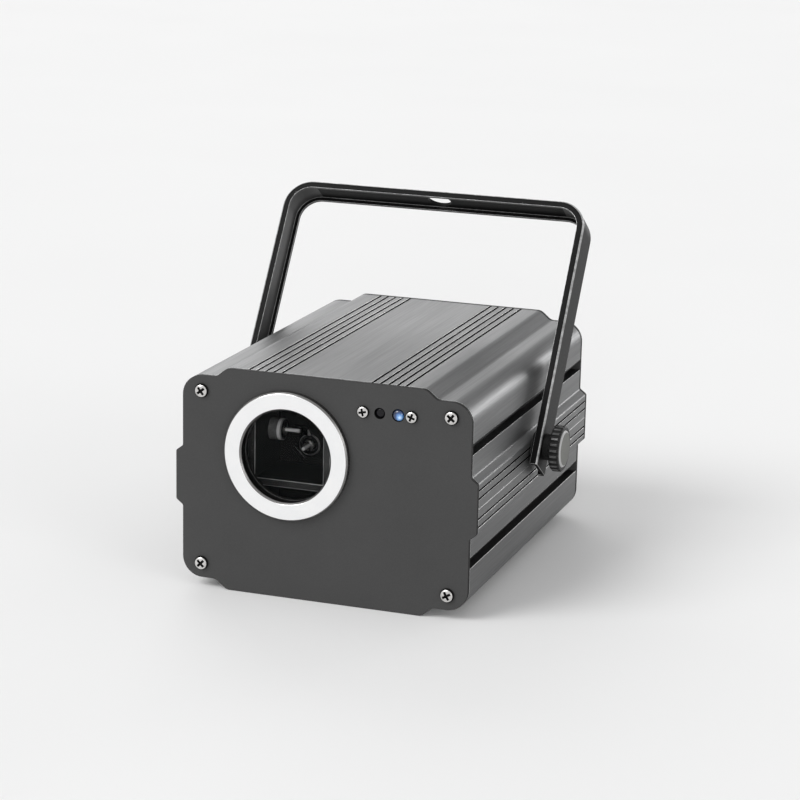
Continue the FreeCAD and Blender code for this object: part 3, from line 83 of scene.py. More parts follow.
FRONT_FACE = low("front_panel").y
REAR_FACE = high("rear_panel").y
HALF_HEIGHT = middle("front_panel").z
HEAD = 3.0
HEAD_HEIGHT = FRONT_FACE - low("front_panel_screws").y
SHANK = 1.5
SHANK_LENGTH = high("front_panel_screws").y - FRONT_FACE
SMALL_HEAD = 2.6
SMALL_HEAD_HEIGHT = FRONT_FACE - low("sensor_board_screws").y
SMALL_SHANK = 1.25
SMALL_SHANK_LENGTH = high("sensor_board_screws").y - FRONT_FACE
WINDOW = spot("window_bezel")
FAN = spot("fan_frame")
SOCKET = spot("signal_socket")
SOCKET_SCREW = (9.5, 12.0)
INLET = spot("power_inlet")
INLET_CAVITY = (22.7, 14.7)
RECEIVER = spot("ir_receiver")
LAMP = spot("indicator_led")
LEFT_CORNER, RIGHT_CORNER = low("front_panel_screws").x + HEAD, high("front_panel_screws").x - HEAD
LOW_CORNER, TOP_CORNER = low("front_panel_screws").z + HEAD, high("front_panel_screws").z - HEAD
SENSOR_SCREWS = (low("sensor_board_screws").x + SMALL_HEAD, high("sensor_board_screws").x - SMALL_HEAD)
HANGING_MOUNT = next(mount for mount in RECORD["mounts"] if mount["name"] == "bracket_hole")
HANGING_HOLE = Vector(HANGING_MOUNT["pos_m"])
BRACKET_LEAN = math.atan2(HANGING_MOUNT["axis"][1], HANGING_MOUNT["axis"][2])
HOLE_RIM = 1.2 * HANGING_MOUNT["dims"]["r_mm"]


# Working by hand

def alone(piece):
    """Only this piece selected, and active."""
    bpy.ops.object.select_all(action="DESELECT")
    piece.select_set(True)
    bpy.context.view_layer.objects.active = piece


def open_mesh(piece, kind="FACE"):
    """Into edit mode with nothing selected."""
    alone(piece)
    bpy.ops.object.mode_set(mode="EDIT")
    bpy.ops.mesh.select_mode(type=kind)
    bpy.ops.mesh.select_all(action="DESELECT")


def close_mesh():
    bpy.ops.object.mode_set(mode="OBJECT")


def pick_faces(piece, test):
    """Select the faces whose middle and normal pass the test, from edit mode and back to it."""
    bpy.ops.object.mode_set(mode="OBJECT")
    for face in piece.data.polygons:
        face.select = bool(test(face.center, face.normal))
    bpy.ops.object.mode_set(mode="EDIT")


def pick_edges(piece, test):
    """Select the edges whose middle and direction pass the test, from edit mode and back to it."""
    bpy.ops.object.mode_set(mode="OBJECT")
    points = piece.data.vertices
    for edge in piece.data.edges:
        start, end = (points[index].co for index in edge.vertices)
        edge.select = bool(test((start + end) / 2, (end - start).normalized()))
    bpy.ops.object.mode_set(mode="EDIT")


def pick_points(piece, test):
    """Select the points whose place passes the test, from edit mode and back to it."""
    bpy.ops.object.mode_set(mode="OBJECT")
    for point in piece.data.vertices:
        point.select = bool(test(point.co))
    bpy.ops.object.mode_set(mode="EDIT")


def settle(piece):
    """Write the piece's place into its mesh."""
    alone(piece)
    bpy.ops.object.transform_apply(location=True, rotation=True, scale=True)


def put_on(piece, kind, **settings):
    """Add a modifier, set it and apply it."""
    alone(piece)
    tool = piece.modifiers.new(kind.lower(), kind)
    for name, value in settings.items():
        setattr(tool, name, value)
    bpy.ops.object.modifier_apply(modifier=tool.name)


def soften(piece, width, segments=2, angle=30, edge_finish=-1):
    """Small rounds on the hard edges, with a finish of their own if one is named, then smooth shading."""
    if width:
        put_on(piece, "BEVEL", width=width * MM, segments=segments, limit_method="ANGLE",
               angle_limit=math.radians(angle), use_clamp_overlap=True, miter_outer="MITER_ARC",
               material=edge_finish)
    alone(piece)
    bpy.ops.object.shade_smooth_by_angle(angle=SMOOTH)
    put_on(piece, "WEIGHTED_NORMAL", weight=60, keep_sharp=True)


def join(name, pieces):
    """Several pieces made one."""
    bpy.ops.object.select_all(action="DESELECT")
    for piece in pieces:
        piece.select_set(True)
    bpy.context.view_layer.objects.active = pieces[0]
    if len(pieces) > 1:
        bpy.ops.object.join()
    whole = bpy.context.view_layer.objects.active
    whole.name = name
    settle(whole)
    return whole


def again(piece, name):
    """A copy with a mesh of its own."""
    twin = piece.copy()
    twin.data = piece.data.copy()
    twin.name = name
    bpy.context.scene.collection.objects.link(twin)
    return twin


def cut_out(piece, cutter):
    """Take the cutter's shape out of the piece, with the cutter's own finish on the new walls."""
    put_on(piece, "BOOLEAN", operation="DIFFERENCE", solver="EXACT", object=cutter,
           material_mode="TRANSFER")
    bpy.data.objects.remove(cutter)


def grow_together(piece, other):
    """Make one skin of two pieces that run into each other."""
    put_on(piece, "BOOLEAN", operation="UNION", solver="EXACT", object=other)
    bpy.data.objects.remove(other)


def lay_on(piece, *finishes):
    """The piece's finishes, the first one all over."""
    piece.data.materials.clear()
    for finish in finishes:
        piece.data.materials.append(finish)
    return piece


def paint(piece, index, test):
    """Give the faces that pass the test another of the piece's finishes."""
    open_mesh(piece)
    pick_faces(piece, test)
    piece.active_material_index = index
    bpy.ops.object.material_slot_assign()
    close_mesh()


def finish_piece(piece, node):
    """The piece takes a CAD node's place and body, and the node is hidden."""
    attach(piece, BODY_OF[node])
    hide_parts(node)
    return piece


def turned_piece(name, rings, segments=64, closed=False):
    """A turned piece about +Z from rings of (radius, height): a circle drawn up ring by ring.

    A closed profile joins its last ring to the first; an open one gets a face at each end."""
    radius, height = rings[0]
    bpy.ops.object.select_all(action="DESELECT")
    bpy.ops.mesh.primitive_circle_add(vertices=segments, radius=radius * MM, location=(0, 0, height * MM),
                                      fill_type="NOTHING" if closed else "NGON")
    piece = bpy.context.active_object
    piece.name = name
    settle(piece)
    open_mesh(piece, "EDGE" if closed else "FACE")
    bpy.ops.mesh.select_all(action="SELECT")
    for next_radius, next_height in rings[1:]:
        up = (0, 0, (next_height - height) * MM)
        bpy.ops.mesh.extrude_region_move(TRANSFORM_OT_translate={"value": up})
        share = next_radius / radius
        bpy.ops.transform.resize(value=(share, share, 1), center_override=(0, 0, next_height * MM))
        radius, height = next_radius, next_height
    bpy.ops.mesh.select_all(action="SELECT")
    bpy.ops.mesh.remove_doubles(threshold=FINE_WELD)
    bpy.ops.mesh.normals_make_consistent(inside=False)
    close_mesh()
    return piece


def block(size, at):
    """A block of three sides about a place, a start to be shaped."""
    bpy.ops.object.select_all(action="DESELECT")
    bpy.ops.mesh.primitive_cube_add(size=1, location=[length * MM for length in at])
    piece = bpy.context.active_object
    piece.scale = [length * MM for length in size]
    settle(piece)
    return piece


def face_front(piece, x, z, spin=0.0):
    """Stand a +Z piece on the front panel, looking towards -Y."""
    turn = Matrix.Rotation(math.radians(90), 4, "X") @ Matrix.Rotation(math.radians(spin), 4, "Z")
    piece.matrix_world = Matrix.Translation((x * MM, FRONT_FACE * MM, z * MM)) @ turn
    return piece


def face_rear(piece, x, z, y=REAR_FACE, spin=0.0):
    """Stand a +Z piece on the rear panel, looking towards +Y."""
    turn = Matrix.Rotation(math.radians(-90), 4, "X") @ Matrix.Rotation(math.radians(spin), 4, "Z")
    piece.matrix_world = Matrix.Translation((x * MM, y * MM, z * MM)) @ turn
    return piece


# Finishes

class Finish:
    """A node material under construction."""

    def __init__(self, name):
        self.material = bpy.data.materials.new(name)
        self.material.use_nodes = True
        self.tree = self.material.node_tree
        self.shader = self.tree.nodes["Principled BSDF"]

    def node(self, kind, **settings):
        made = self.tree.nodes.new(kind)
        for name, value in settings.items():
            setattr(made, name, value)
        return made

    def link(self, source, target):
        self.tree.links.new(source, target)

    def set(self, **sockets):
        for name, value in sockets.items():
            self.shader.inputs[name.replace("_", " ")].default_value = value
        return self

    def place(self, scale=(1, 1, 1), offset=(0, 0, 0)):
        """Object coordinates, in metres, moved and stretched."""
        where = self.node("ShaderNodeTexCoord")
        moved = self.node("ShaderNodeMapping")
        moved.inputs["Location"].default_value = offset
        moved.inputs["Scale"].default_value = scale
        self.link(where.outputs["Object"], moved.inputs["Vector"])
        return moved.outputs["Vector"]

    def noise(self, where, scale, detail=3.0, rough=0.55):
        made = self.node("ShaderNodeTexNoise")
        made.inputs["Scale"].default_value = scale
        made.inputs["Detail"].default_value = detail
        made.inputs["Roughness"].default_value = rough
        self.link(where, made.inputs["Vector"])
        return made.outputs["Fac"]

    def cells(self, where, scale):
        made = self.node("ShaderNodeTexVoronoi")
        made.inputs["Scale"].default_value = scale
        self.link(where, made.inputs["Vector"])
        return made.outputs["Distance"]

    def math(self, operation, a, b=0.0):
        made = self.node("ShaderNodeMath", operation=operation)
        for socket, value in zip(made.inputs, (a, b)):
            if isinstance(value, (int, float)):
                socket.default_value = value
            else:
                self.link(value, socket)
        return made.outputs[0]

    def mixed(self, first, second, share):
        """Two patterns added, the first by its share and the second by the rest."""
        part, rest = self.math("MULTIPLY", first, share), self.math("MULTIPLY", second, 1 - share)
        return self.math("ADD", part, rest)

    def spread(self, factor, low_end, high_end, start=0.3, end=0.7):
        """A number that runs from one end to the other as the factor goes from start to end."""
        made = self.node("ShaderNodeMapRange")
        limits = {"From Min": start, "From Max": end, "To Min": low_end, "To Max": high_end}
        for name, value in limits.items():
            made.inputs[name].default_value = value
        self.link(factor, made.inputs["Value"])
        return made.outputs["Result"]

    def tones(self, factor, *stops):
        """Colours along the factor: (place, colour) stops."""
        made = self.node("ShaderNodeValToRGB")
        band = made.color_ramp.elements
        while len(band) < len(stops):
            band.new(0.5)
        for element, (where, colour) in zip(band, stops):
            element.position = where
            element.color = (*colour, 1)
        self.link(factor, made.inputs["Fac"])
        return made.outputs["Color"]

    def colour(self, socket):
        self.link(socket, self.shader.inputs["Base Color"])

    def roughness(self, socket):
        self.link(socket, self.shader.inputs["Roughness"])

    def relief(self, *layers):
        """Bumps of (height, strength, depth in millimetres), one over the other."""
        below = None
        for height, strength, depth in layers:
            made = self.node("ShaderNodeBump")
            made.inputs["Strength"].default_value = strength
            made.inputs["Distance"].default_value = depth * MM
            self.link(height, made.inputs["Height"])
            if below:
                self.link(below, made.inputs["Normal"])
            below = made.outputs["Normal"]
        self.link(below, self.shader.inputs["Normal"])
        return self

    def radius_about(self, x, z):
        """Distance in metres from an axis along Y."""
        where = self.place(offset=(-x * MM, 0, -z * MM))
        flat = self.node("ShaderNodeVectorMath", operation="MULTIPLY")
        flat.inputs[1].default_value = (1, 0, 1)
        self.link(where, flat.inputs[0])
        length = self.node("ShaderNodeVectorMath", operation="LENGTH")
        self.link(flat.outputs[0], length.inputs[0])
        return length.outputs["Value"]

    def turning(self, radius, scale):
        """Fine lathe rings: noise along the radius alone."""
        made = self.node("ShaderNodeTexNoise", noise_dimensions="1D")
        made.inputs["Scale"].default_value = scale
        made.inputs["Detail"].default_value = 4
        self.link(radius, made.inputs["W"])
        return made.outputs["Fac"]


def grey(level, warm=0.0):
    """A grey of one level, a little towards red or, below zero, towards blue."""
    return (level * (1 + warm), level, level * (1 - warm))


def anodised_extrusion():
    """Dark grey anodised aluminium with drawing lines along the housing."""
    f = Finish("anodised_extrusion").set(Metallic=0.9)
    lines = f.noise(f.place(scale=(1, 0.012, 1)), scale=1500, detail=4, rough=0.65)
    broad = f.noise(f.place(scale=(1, 0.03, 1)), scale=160, detail=2, rough=0.5)
    grain = f.noise(f.place(), scale=5200, detail=2, rough=0.5)
    both = f.mixed(lines, broad, 0.6)
    f.colour(f.tones(both, (0.3, grey(0.118, -0.02)), (0.5, grey(0.14, -0.01)),
                     (0.72, grey(0.168, -0.01))))
    f.roughness(f.spread(both, 0.5, 0.4))
    return f.relief((lines, 0.10, 0.02), (grain, 0.12, 0.012)).material


def powder_coat(name, dark, light, rough, bump, shine):
    """Painted sheet with the fine orange peel of powder."""
    f = Finish(name).set(Specular_IOR_Level=shine)
    peel = f.noise(f.place(), scale=2600, detail=3, rough=0.6)
    specks = f.cells(f.place(), scale=3800)
    cloud = f.noise(f.place(), scale=38, detail=3, rough=0.6)
    f.colour(f.tones(f.mixed(peel, cloud, 0.65), (0.3, dark), (0.7, light)))
    f.roughness(f.spread(peel, rough + 0.06, rough - 0.06))
    return f.relief((peel, bump, 0.03), (specks, bump * 0.6, 0.015)).material


def polished_bezel():
    """Bright plated ring with faint lathe lines."""
    f = Finish("polished_bezel").set(Metallic=1.0)
    rings = f.turning(f.radius_about(*WINDOW), scale=5200)
    haze = f.noise(f.place(), scale=120, detail=3, rough=0.6)
    f.colour(f.tones(haze, (0.3, (0.95, 0.955, 0.96)), (0.7, (0.99, 0.99, 0.99))))
    f.roughness(f.spread(rings, 0.14, 0.24))
    return f.relief((rings, 0.10, 0.01)).material


def plated_steel(name, tone=0.72, rough=0.27):
    """Nickel plated screws and shafts with small handling marks."""
    f = Finish(name).set(Metallic=1.0)
    marks = f.noise(f.place(), scale=900, detail=4, rough=0.65)
    cloud = f.noise(f.place(), scale=140, detail=2, rough=0.5)
    f.colour(f.tones(cloud, (0.3, grey(tone * 0.86, 0.02)), (0.7, grey(tone, 0.015))))
    f.roughness(f.spread(marks, rough - 0.07, rough + 0.1))
    return f.relief((marks, 0.08, 0.02)).material


def moulded_plastic(name, dark, light, rough=0.5):
    """Moulded plastic with a fine spark eroded grain."""
    f = Finish(name).set(Specular_IOR_Level=0.25)
    grain = f.noise(f.place(), scale=2200, detail=3, rough=0.6)
    cloud = f.noise(f.place(), scale=90, detail=2, rough=0.5)
    f.colour(f.tones(f.mixed(grain, cloud, 0.5), (0.35, dark), (0.65, light)))
    f.roughness(f.spread(grain, rough - 0.07, rough + 0.07))
    return f.relief((grain, 0.2, 0.03)).material


def machined_metal(name, dark, light, rough=0.34):
    """Milled or turned metal with fine tool lines."""
    f = Finish(name).set(Metallic=1.0)
    lines = f.noise(f.place(scale=(1, 1, 0.04)), scale=2400, detail=4, rough=0.6)
    cloud = f.noise(f.place(), scale=110, detail=2, rough=0.5)
    f.colour(f.tones(cloud, (0.3, dark), (0.7, light)))
    f.roughness(f.spread(lines, rough - 0.08, rough + 0.08))
    return f.relief((lines, 0.12, 0.02)).material


def black_anodised(name, level):
    """Black anodised aluminium of the bench inside."""
    f = Finish(name).set(Metallic=0.35, Specular_IOR_Level=0.2)
    grain = f.noise(f.place(), scale=3000, detail=3, rough=0.6)
    cloud = f.noise(f.place(), scale=70, detail=2, rough=0.5)
    f.colour(f.tones(cloud, (0.3, grey(level * 0.75)), (0.7, grey(level * 1.25))))
    f.roughness(f.spread(grain, 0.42, 0.58))
    return f.relief((grain, 0.15, 0.02)).material


def satin_steel(name, dark, light):
    """Blasted steel of the small motors and their shafts."""
    f = Finish(name).set(Metallic=0.3)
    marks = f.noise(f.place(), scale=700, detail=3, rough=0.6)
    f.colour(f.tones(marks, (0.3, grey(dark)), (0.7, grey(light))))
    f.roughness(f.spread(marks, 0.4, 0.5))
    return f.relief((marks, 0.06, 0.02)).material


def highlight_and_wear_edge(name, dark, light, rough, metal):
    """Edges painted brighter in broken patches: a painted highlight, with some rubbing wear."""
    f = Finish(name).set(Metallic=metal)
    patches = f.noise(f.place(), scale=420, detail=5, rough=0.7)
    f.colour(f.tones(patches, (0.35, dark), (0.62, light)))
    f.roughness(f.spread(patches, rough + 0.1, rough - 0.05))
    return f.relief((patches, 0.1, 0.01)).material


def shadow_black(name, level, rough):
    """Near-black painted shade that hardly shines: slots, recesses, bores and the end plates' edges."""
    f = Finish(name).set(Specular_IOR_Level=0.12)
    grain = f.noise(f.place(), scale=2400, detail=3, rough=0.6)
    f.colour(f.tones(grain, (0.3, grey(level * 0.7)), (0.7, grey(level * 1.3))))
    f.roughness(f.spread(grain, rough - 0.08, rough + 0.08))
    return f.relief((grain, 0.12, 0.02)).material


def receiver_gloss():
    """Polished black resin that lets only infrared through."""
    f = Finish("receiver_gloss").set(Specular_IOR_Level=0.12, Coat_Weight=0.3, Coat_Roughness=0.05)
    swirl = f.noise(f.place(), scale=500, detail=2, rough=0.5)
    f.colour(f.tones(swirl, (0.3, (0.003, 0.003, 0.004)), (0.7, (0.007, 0.006, 0.008))))
    f.roughness(f.spread(swirl, 0.08, 0.16))
    return f.material


def window_clear_glass():
    """Clear coated glass with the faintest wipe marks."""
    f = Finish("window_clear_glass").set(Base_Color=(0.01, 0.012, 0.012, 1), Alpha=0.06)
    wipe = f.noise(f.place(scale=(1, 1, 0.35)), scale=260, detail=4, rough=0.6)
    f.roughness(f.spread(wipe, 0.0, 0.03, 0.45, 0.85))
    return f.material


def lamp_lens():
    """Clear resin with a painted highlight: pale blue about a point off the middle, and painted shade in
    deep blue towards its rim.
    """
    f = Finish("lamp_lens").set(IOR=1.5, Coat_Weight=1.0, Coat_Roughness=0.03)
    swirl = f.math("MULTIPLY", f.noise(f.place(), scale=900, detail=2, rough=0.5), 0.35)
    # The painted highlight centres here, off the lens's middle
    highlight_centre = (LAMP[0] + 0.9, LAMP[1] - 0.6)
    depth = f.math("ADD", f.math("MULTIPLY", f.radius_about(*highlight_centre), 340), swirl)
    f.colour(f.tones(depth, (0.2, (0.6, 0.78, 0.95)), (0.5, (0.12, 0.29, 0.6)), (0.8, (0.015, 0.05, 0.16)),
                     (1.0, (0.004, 0.012, 0.04))))
    f.roughness(f.spread(swirl, 0.06, 0.14, 0.1, 0.25))
    return f.material


def display_window():
    """Dark red tinted display window."""
    f = Finish("display_window").set(Specular_IOR_Level=0.2, Coat_Weight=0.15, Coat_Roughness=0.03)
    haze = f.noise(f.place(), scale=150, detail=3, rough=0.6)
    f.colour(f.tones(haze, (0.3, (0.026, 0.0015, 0.002)), (0.7, (0.042, 0.003, 0.0035))))
    f.roughness(f.spread(haze, 0.10, 0.18))
    return f.material


def soft_rubber():
    """Matt rubber of the window's gasket."""
    f = Finish("soft_rubber")
    grain = f.noise(f.place(), scale=1500, detail=3, rough=0.6)
    f.colour(f.tones(grain, (0.3, grey(0.011)), (0.7, grey(0.019))))
    f.roughness(f.spread(grain, 0.7, 0.86))
    return f.relief((grain, 0.2, 0.03)).material


def board_mask():
    """Green solder mask over copper tracks."""
    f = Finish("board_mask").set(Coat_Weight=0.3, Coat_Roughness=0.2)
    tracks = f.node("ShaderNodeTexBrick", offset=0.35, squash=1.4)
    tracks.inputs["Color1"].default_value = (0.012, 0.085, 0.03, 1)
    tracks.inputs["Color2"].default_value = (0.016, 0.11, 0.04, 1)
    tracks.inputs["Mortar"].default_value = (0.035, 0.19, 0.075, 1)
    tracks.inputs["Scale"].default_value = 160
    tracks.inputs["Mortar Size"].default_value = 0.05
    f.link(f.place(), tracks.inputs["Vector"])
    f.colour(tracks.outputs["Color"])
    f.roughness(f.spread(f.noise(f.place(), scale=600), 0.3, 0.45))
    return f.relief((tracks.outputs["Fac"], 0.25, 0.03)).material


def front_mirror():
    """Front silvered glass with a little dust."""
    f = Finish("front_mirror").set(Metallic=1.0)
    dust = f.noise(f.place(), scale=1400, detail=4, rough=0.7)
    f.colour(f.tones(dust, (0.3, grey(0.88)), (0.7, grey(0.94))))
    f.roughness(f.spread(dust, 0.01, 0.05))
    return f.material


FINISHES = {
    "shell_aluminium": anodised_extrusion(),
    "panel_paint": powder_coat("panel_powder", grey(0.039), grey(0.0485),
                               rough=0.55, bump=0.22, shine=0.25),
    "bracket_paint": powder_coat("bracket_satin", grey(0.004), grey(0.007),
                                 rough=0.45, bump=0.16, shine=0.08),
    "bright_chrome": polished_bezel(),
    "bright_steel": plated_steel("plated_steel"),
    "black_plastic": moulded_plastic("black_moulding", grey(0.006), grey(0.010)),
    "grey_plastic": moulded_plastic("grey_moulding", (0.086, 0.088, 0.079), (0.108, 0.110, 0.099),
                                    rough=0.42),
    "blue_lens": lamp_lens(),
    "display_lens": display_window(),
    "clear_glass": window_clear_glass(),
    "black_rubber": soft_rubber(),
    "board_laminate": board_mask(),
    "mirror_glass": front_mirror(),
    "black_aluminium": black_anodised("black_anodised", level=0.006),
    "bare_aluminium": machined_metal("bare_milling", grey(0.6), grey(0.72)),
    "turned_brass": machined_metal("turned_brass", (0.58, 0.42, 0.17), (0.7, 0.53, 0.25), rough=0.3),
    "guard_wire": plated_steel("guard_wire", tone=0.6, rough=0.3),
}
# What the rounded edges of a finish look like, where they differ from its faces: mostly a painted highlight
# with some wear, and on the end plates painted shade
EDGES = {
    "shell_aluminium": highlight_and_wear_edge("cut_edge_and_painted_highlight", grey(0.5), grey(0.85), rough=0.3, metal=0.9),
    "bracket_paint": highlight_and_wear_edge("bracket_edge_highlight_and_wear", grey(0.2), grey(0.46), rough=0.3, metal=0.5),
    "panel_paint": shadow_black("panel_edge_painted_shade", level=0.006, rough=0.55),
    "black_aluminium": highlight_and_wear_edge("black_edge_painted_highlight", grey(0.55), grey(0.9), rough=0.35, metal=0.0),
    "black_plastic": highlight_and_wear_edge("plastic_edge_highlight_and_wear", grey(0.04), grey(0.14), rough=0.32, metal=0.0),
}
# Painted shade in the shells' side slots, ribs and grooves
SLOT_SHADE = shadow_black("painted_slot_shade", level=0.008, rough=0.5)
# Painted shade in the screws' cross recesses and on their flanks
RECESS_SHADE = shadow_black("painted_recess_shade", level=0.004, rough=0.6)
# Painted shade in the bezel's bore
BORE_SHADE = shadow_black("painted_bore_shade", level=0.005, rough=0.5)
# Painted dark reflection on the bezel's bevels and rim
DARK_RIM_REFLECTION = plated_steel("painted_dark_rim_reflection", tone=0.22, rough=0.3)
BARREL = satin_steel("motor_barrel", dark=0.13, light=0.2)
# Painted highlight on the motor's end band
BARREL_END_HIGHLIGHT = satin_steel("motor_end_painted_highlight", dark=0.75, light=0.92)
# Bright steel shafts, whitened further as a painted glint
BRIGHT_SHAFT_GLINT = satin_steel("satin_shaft_painted_glint", dark=0.85, light=0.95)
# Painted light on the black bench's front faces and shelf
LIT_BLACK_ANODISED = black_anodised("painted_light_black_anodised", level=0.055)
# Painted light on the bracket's inner face
BRACKET_INSIDE_LIT = powder_coat("bracket_inside_painted_light", grey(0.04), grey(0.055),
                             rough=0.4, bump=0.16, shine=0.25)
# Painted highlight, with some wear, on the knobs' ridges
KNOB_RIDGE_HIGHLIGHT = highlight_and_wear_edge("knob_ridge_highlight_and_wear", grey(0.02), grey(0.10), rough=0.24, metal=0.0)
# Painted highlight round the knob caps' rims
KNOB_RIM_HIGHLIGHT = moulded_plastic("knob_rim_painted_highlight", grey(0.32), grey(0.45), rough=0.35)


# Pieces that follow their CAD solids

# Width in millimetres of the small rounds on each solid's hard edges
SOFT_EDGES = {
    "upper_shell": 0.36, "lower_shell": 0.36, "front_panel": 0.25, "rear_panel": 0.25, "bracket": 0.35,
    "knob_grip_left": 0.15, "knob_grip_right": 0.15, "knob_cap_left": 0.5, "knob_cap_right": 0.5,
    "scanner_mount": 0.35, "optics_plate": 0.25, "laser_clamp": 0.3, "fold_mirror_post": 0.3,
    "laser_module": 0.3, "laser_heat_sink": 0.15, "power_inlet": 0.4, "power_switch_body": 0.35,
    "power_switch_rocker": 0.5, "signal_socket": 0.4, "fan_frame": 0.25, "menu_display": 0.2,
    "bezel_nut": 0.25, "friction_washers": 0.2, "pivot_inserts": 0.15, "window_glass": 0.15,
    "glass_retaining_ring": 0.15, "window_gasket": 0.1, "sensor_board": 0.08, "driver_board": 0.08,
    "power_board": 0.08, "control_board": 0.08, "board_components": 0.2, "standoffs": 0.12,
    "power_inlet_pins": 0.3, "signal_contacts": 0.4, "knob_stud_left": 0.15, "knob_stud_right": 0.15,
    "tilt_mirror": 0.05, "pan_mirror": 0.05, "fold_mirror": 0.08, "tilt_shaft": 0.05, "pan_shaft": 0.05,
    "bench_screws": 0.06, "board_screws": 0.06, "fan_guard": 0.0,
}


def outer_corner(node):
    """A test for the edges along Y at a piece's outermost corners."""
    near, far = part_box(node)

    def test(place, along):
        across = min(abs(place.x - near.x), abs(place.x - far.x))
        upright = min(abs(place.z - near.z), abs(place.z - far.z))
        return abs(along.y) > STRAIGHT and across < TOUCH and upright < TOUCH
    return test


def key_corner(place, along):
    """The two upper corners of the mains inlet's cavity, beside its earth pin."""
    across = abs(abs(place.x - INLET[0] * MM) - INLET_CAVITY[0] / 2 * MM)
    upright = abs(place.z - (INLET[1] + INLET_CAVITY[1] / 2) * MM)
    return abs(along.y) > STRAIGHT and across < TOUCH and upright < TOUCH


# Larger rounds and chamfers before the small ones: width, segments and the edges they go on
CORNERS = {
    "signal_socket": [(2.2, 5, outer_corner("signal_socket"))],
    "power_inlet": [(4.2, 1, key_corner), (1.8, 4, outer_corner("power_inlet"))],
    "power_switch_body": [(1.2, 4, outer_corner("power_switch_body"))],
    "fan_frame": [(1.6, 4, outer_corner("fan_frame"))],
}


def dressed_solid(node, width):
    """A CAD solid with its triangles merged back to faces and its hard edges rounded a little."""
    source = frame["nodes"][node]
    piece = bpy.data.objects.new(node + "_dressed", source.data.copy())
    bpy.context.scene.collection.objects.link(piece)
    open_mesh(piece, "VERT")
    bpy.ops.mesh.select_all(action="SELECT")
    bpy.ops.mesh.remove_doubles(threshold=WELD)
    bpy.ops.mesh.customdata_custom_splitnormals_clear()
    bpy.ops.mesh.select_mode(type="FACE")
    bpy.ops.mesh.select_all(action="SELECT")
    bpy.ops.mesh.dissolve_limited(angle_limit=FLAT)
    close_mesh()
    for round_width, segments, test in CORNERS.get(node, ()):
        open_mesh(piece, "EDGE")
        pick_edges(piece, test)
        bpy.ops.mesh.bevel(offset=round_width * MM, segments=segments, affect="EDGES")
        close_mesh()
    slot = SLOT_OF[node]
    finishes = [FINISHES[slot]] + [EDGES[name] for name in (slot,) if name in EDGES]
    lay_on(piece, *finishes)
    soften(piece, width, edge_finish=len(finishes) - 1)
    return finish_piece(piece, node)


def dressed(node):
    """The dressed copy of a CAD solid."""
    return bpy.data.objects[node + "_dressed"]


# Where the shells' sunk faces lie: from and to, across and up from the housing's middle
SIDE_SLOT = ((57.8, 61.6), (21.0, 26.6))
RIB = ((17.5, 35.5), (45.6, 46.6))
BAND_GROOVE = ((64.0, 64.65), (-0.1, 8.6))


def shell_grooves():
    """Painted shade: the anodising is nearly black in the side slots, the ribs and the band's grooves."""
    def sunk(place, normal):
        x, z = abs(place.x) / MM, abs(place.z / MM - HALF_HEIGHT)
        inside = [left < x < right and bottom < z < top
                  for (left, right), (bottom, top) in (SIDE_SLOT, RIB, BAND_GROOVE)]
        return abs(normal.y) < 0.5 and any(inside)

    for node in ("upper_shell", "lower_shell"):
        dressed(node).data.materials.append(SLOT_SHADE)
        paint(dressed(node), 2, sunk)


def bracket_faces():
    """The bracket's rolled edges get a painted highlight with some wear, its inner face painted light, and
    its hole's rim keeps the plain dark paint.
    """
    across = Vector((0, math.cos(BRACKET_LEAN), -math.sin(BRACKET_LEAN)))
    centre = middle("bracket") * MM
    strip = dressed("bracket")
    strip.data.materials.append(BRACKET_INSIDE_LIT)
    # Painted light on the inner face
    paint(strip, 2, lambda place, normal: abs(normal.dot(across)) < 0.3 and normal.dot(place - centre) < 0)
    # Painted highlight on the rolled edges, with some wear
    paint(strip, 1, lambda place, normal: 0.12 < abs(normal.dot(across)) < 0.92)
    paint(strip, 0, lambda place, normal: (place - HANGING_HOLE).length < HOLE_RIM * MM)


def scanner_mount_faces():
    """Painted light on the mount's front faces and on its shelf, painted highlights on its front edges
    alone; its inner corners stay black.
    """
    mount = dressed("scanner_mount")
    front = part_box("scanner_mount")[0].y
    mount.data.materials.append(LIT_BLACK_ANODISED)
    # Deeper faces keep the plain black, without the painted edge highlight
    paint(mount, 0, lambda place, normal: place.y > front + MM)
    # Painted light on the front faces
    paint(mount, 2, lambda place, normal: normal.y < -0.95 and place.y < front + MM)
    lay_on(dressed("optics_plate"), LIT_BLACK_ANODISED, EDGES["black_aluminium"])
    # Shafts whitened as a painted glint
    for node in ("tilt_shaft", "pan_shaft"):
        lay_on(dressed(node), BRIGHT_SHAFT_GLINT)


def panel_edges():
    """Painted shade: the end plates' cut sides are as black as their edges, along their outline and round
    their holes.
    """
    for node in ("front_panel", "rear_panel"):
        paint(dressed(node), 1, lambda place, normal: abs(normal.y) < 0.96)


def knob_faces():
    """The knobs' ridges are painted paler than their flutes, a painted highlight with some wear, and a
    painted highlight runs round each cap's rim.
    """
    for side in ("left", "right"):
        node = "knob_grip_" + side
        centre = middle(node) * MM
        ridge = 0.985 * (high(node).z - low(node).z) / 2 * MM
        grip, cap = dressed(node), dressed("knob_cap_" + side)
        grip.data.materials.append(KNOB_RIDGE_HIGHLIGHT)
        cap.data.materials.append(KNOB_RIM_HIGHLIGHT)
        paint(grip, 2, lambda place, normal: abs(normal.x) < 0.2 and (place - centre).yz.length > ridge)
        paint(cap, 1, lambda place, normal: abs(normal.x) < 0.96)


# Screws

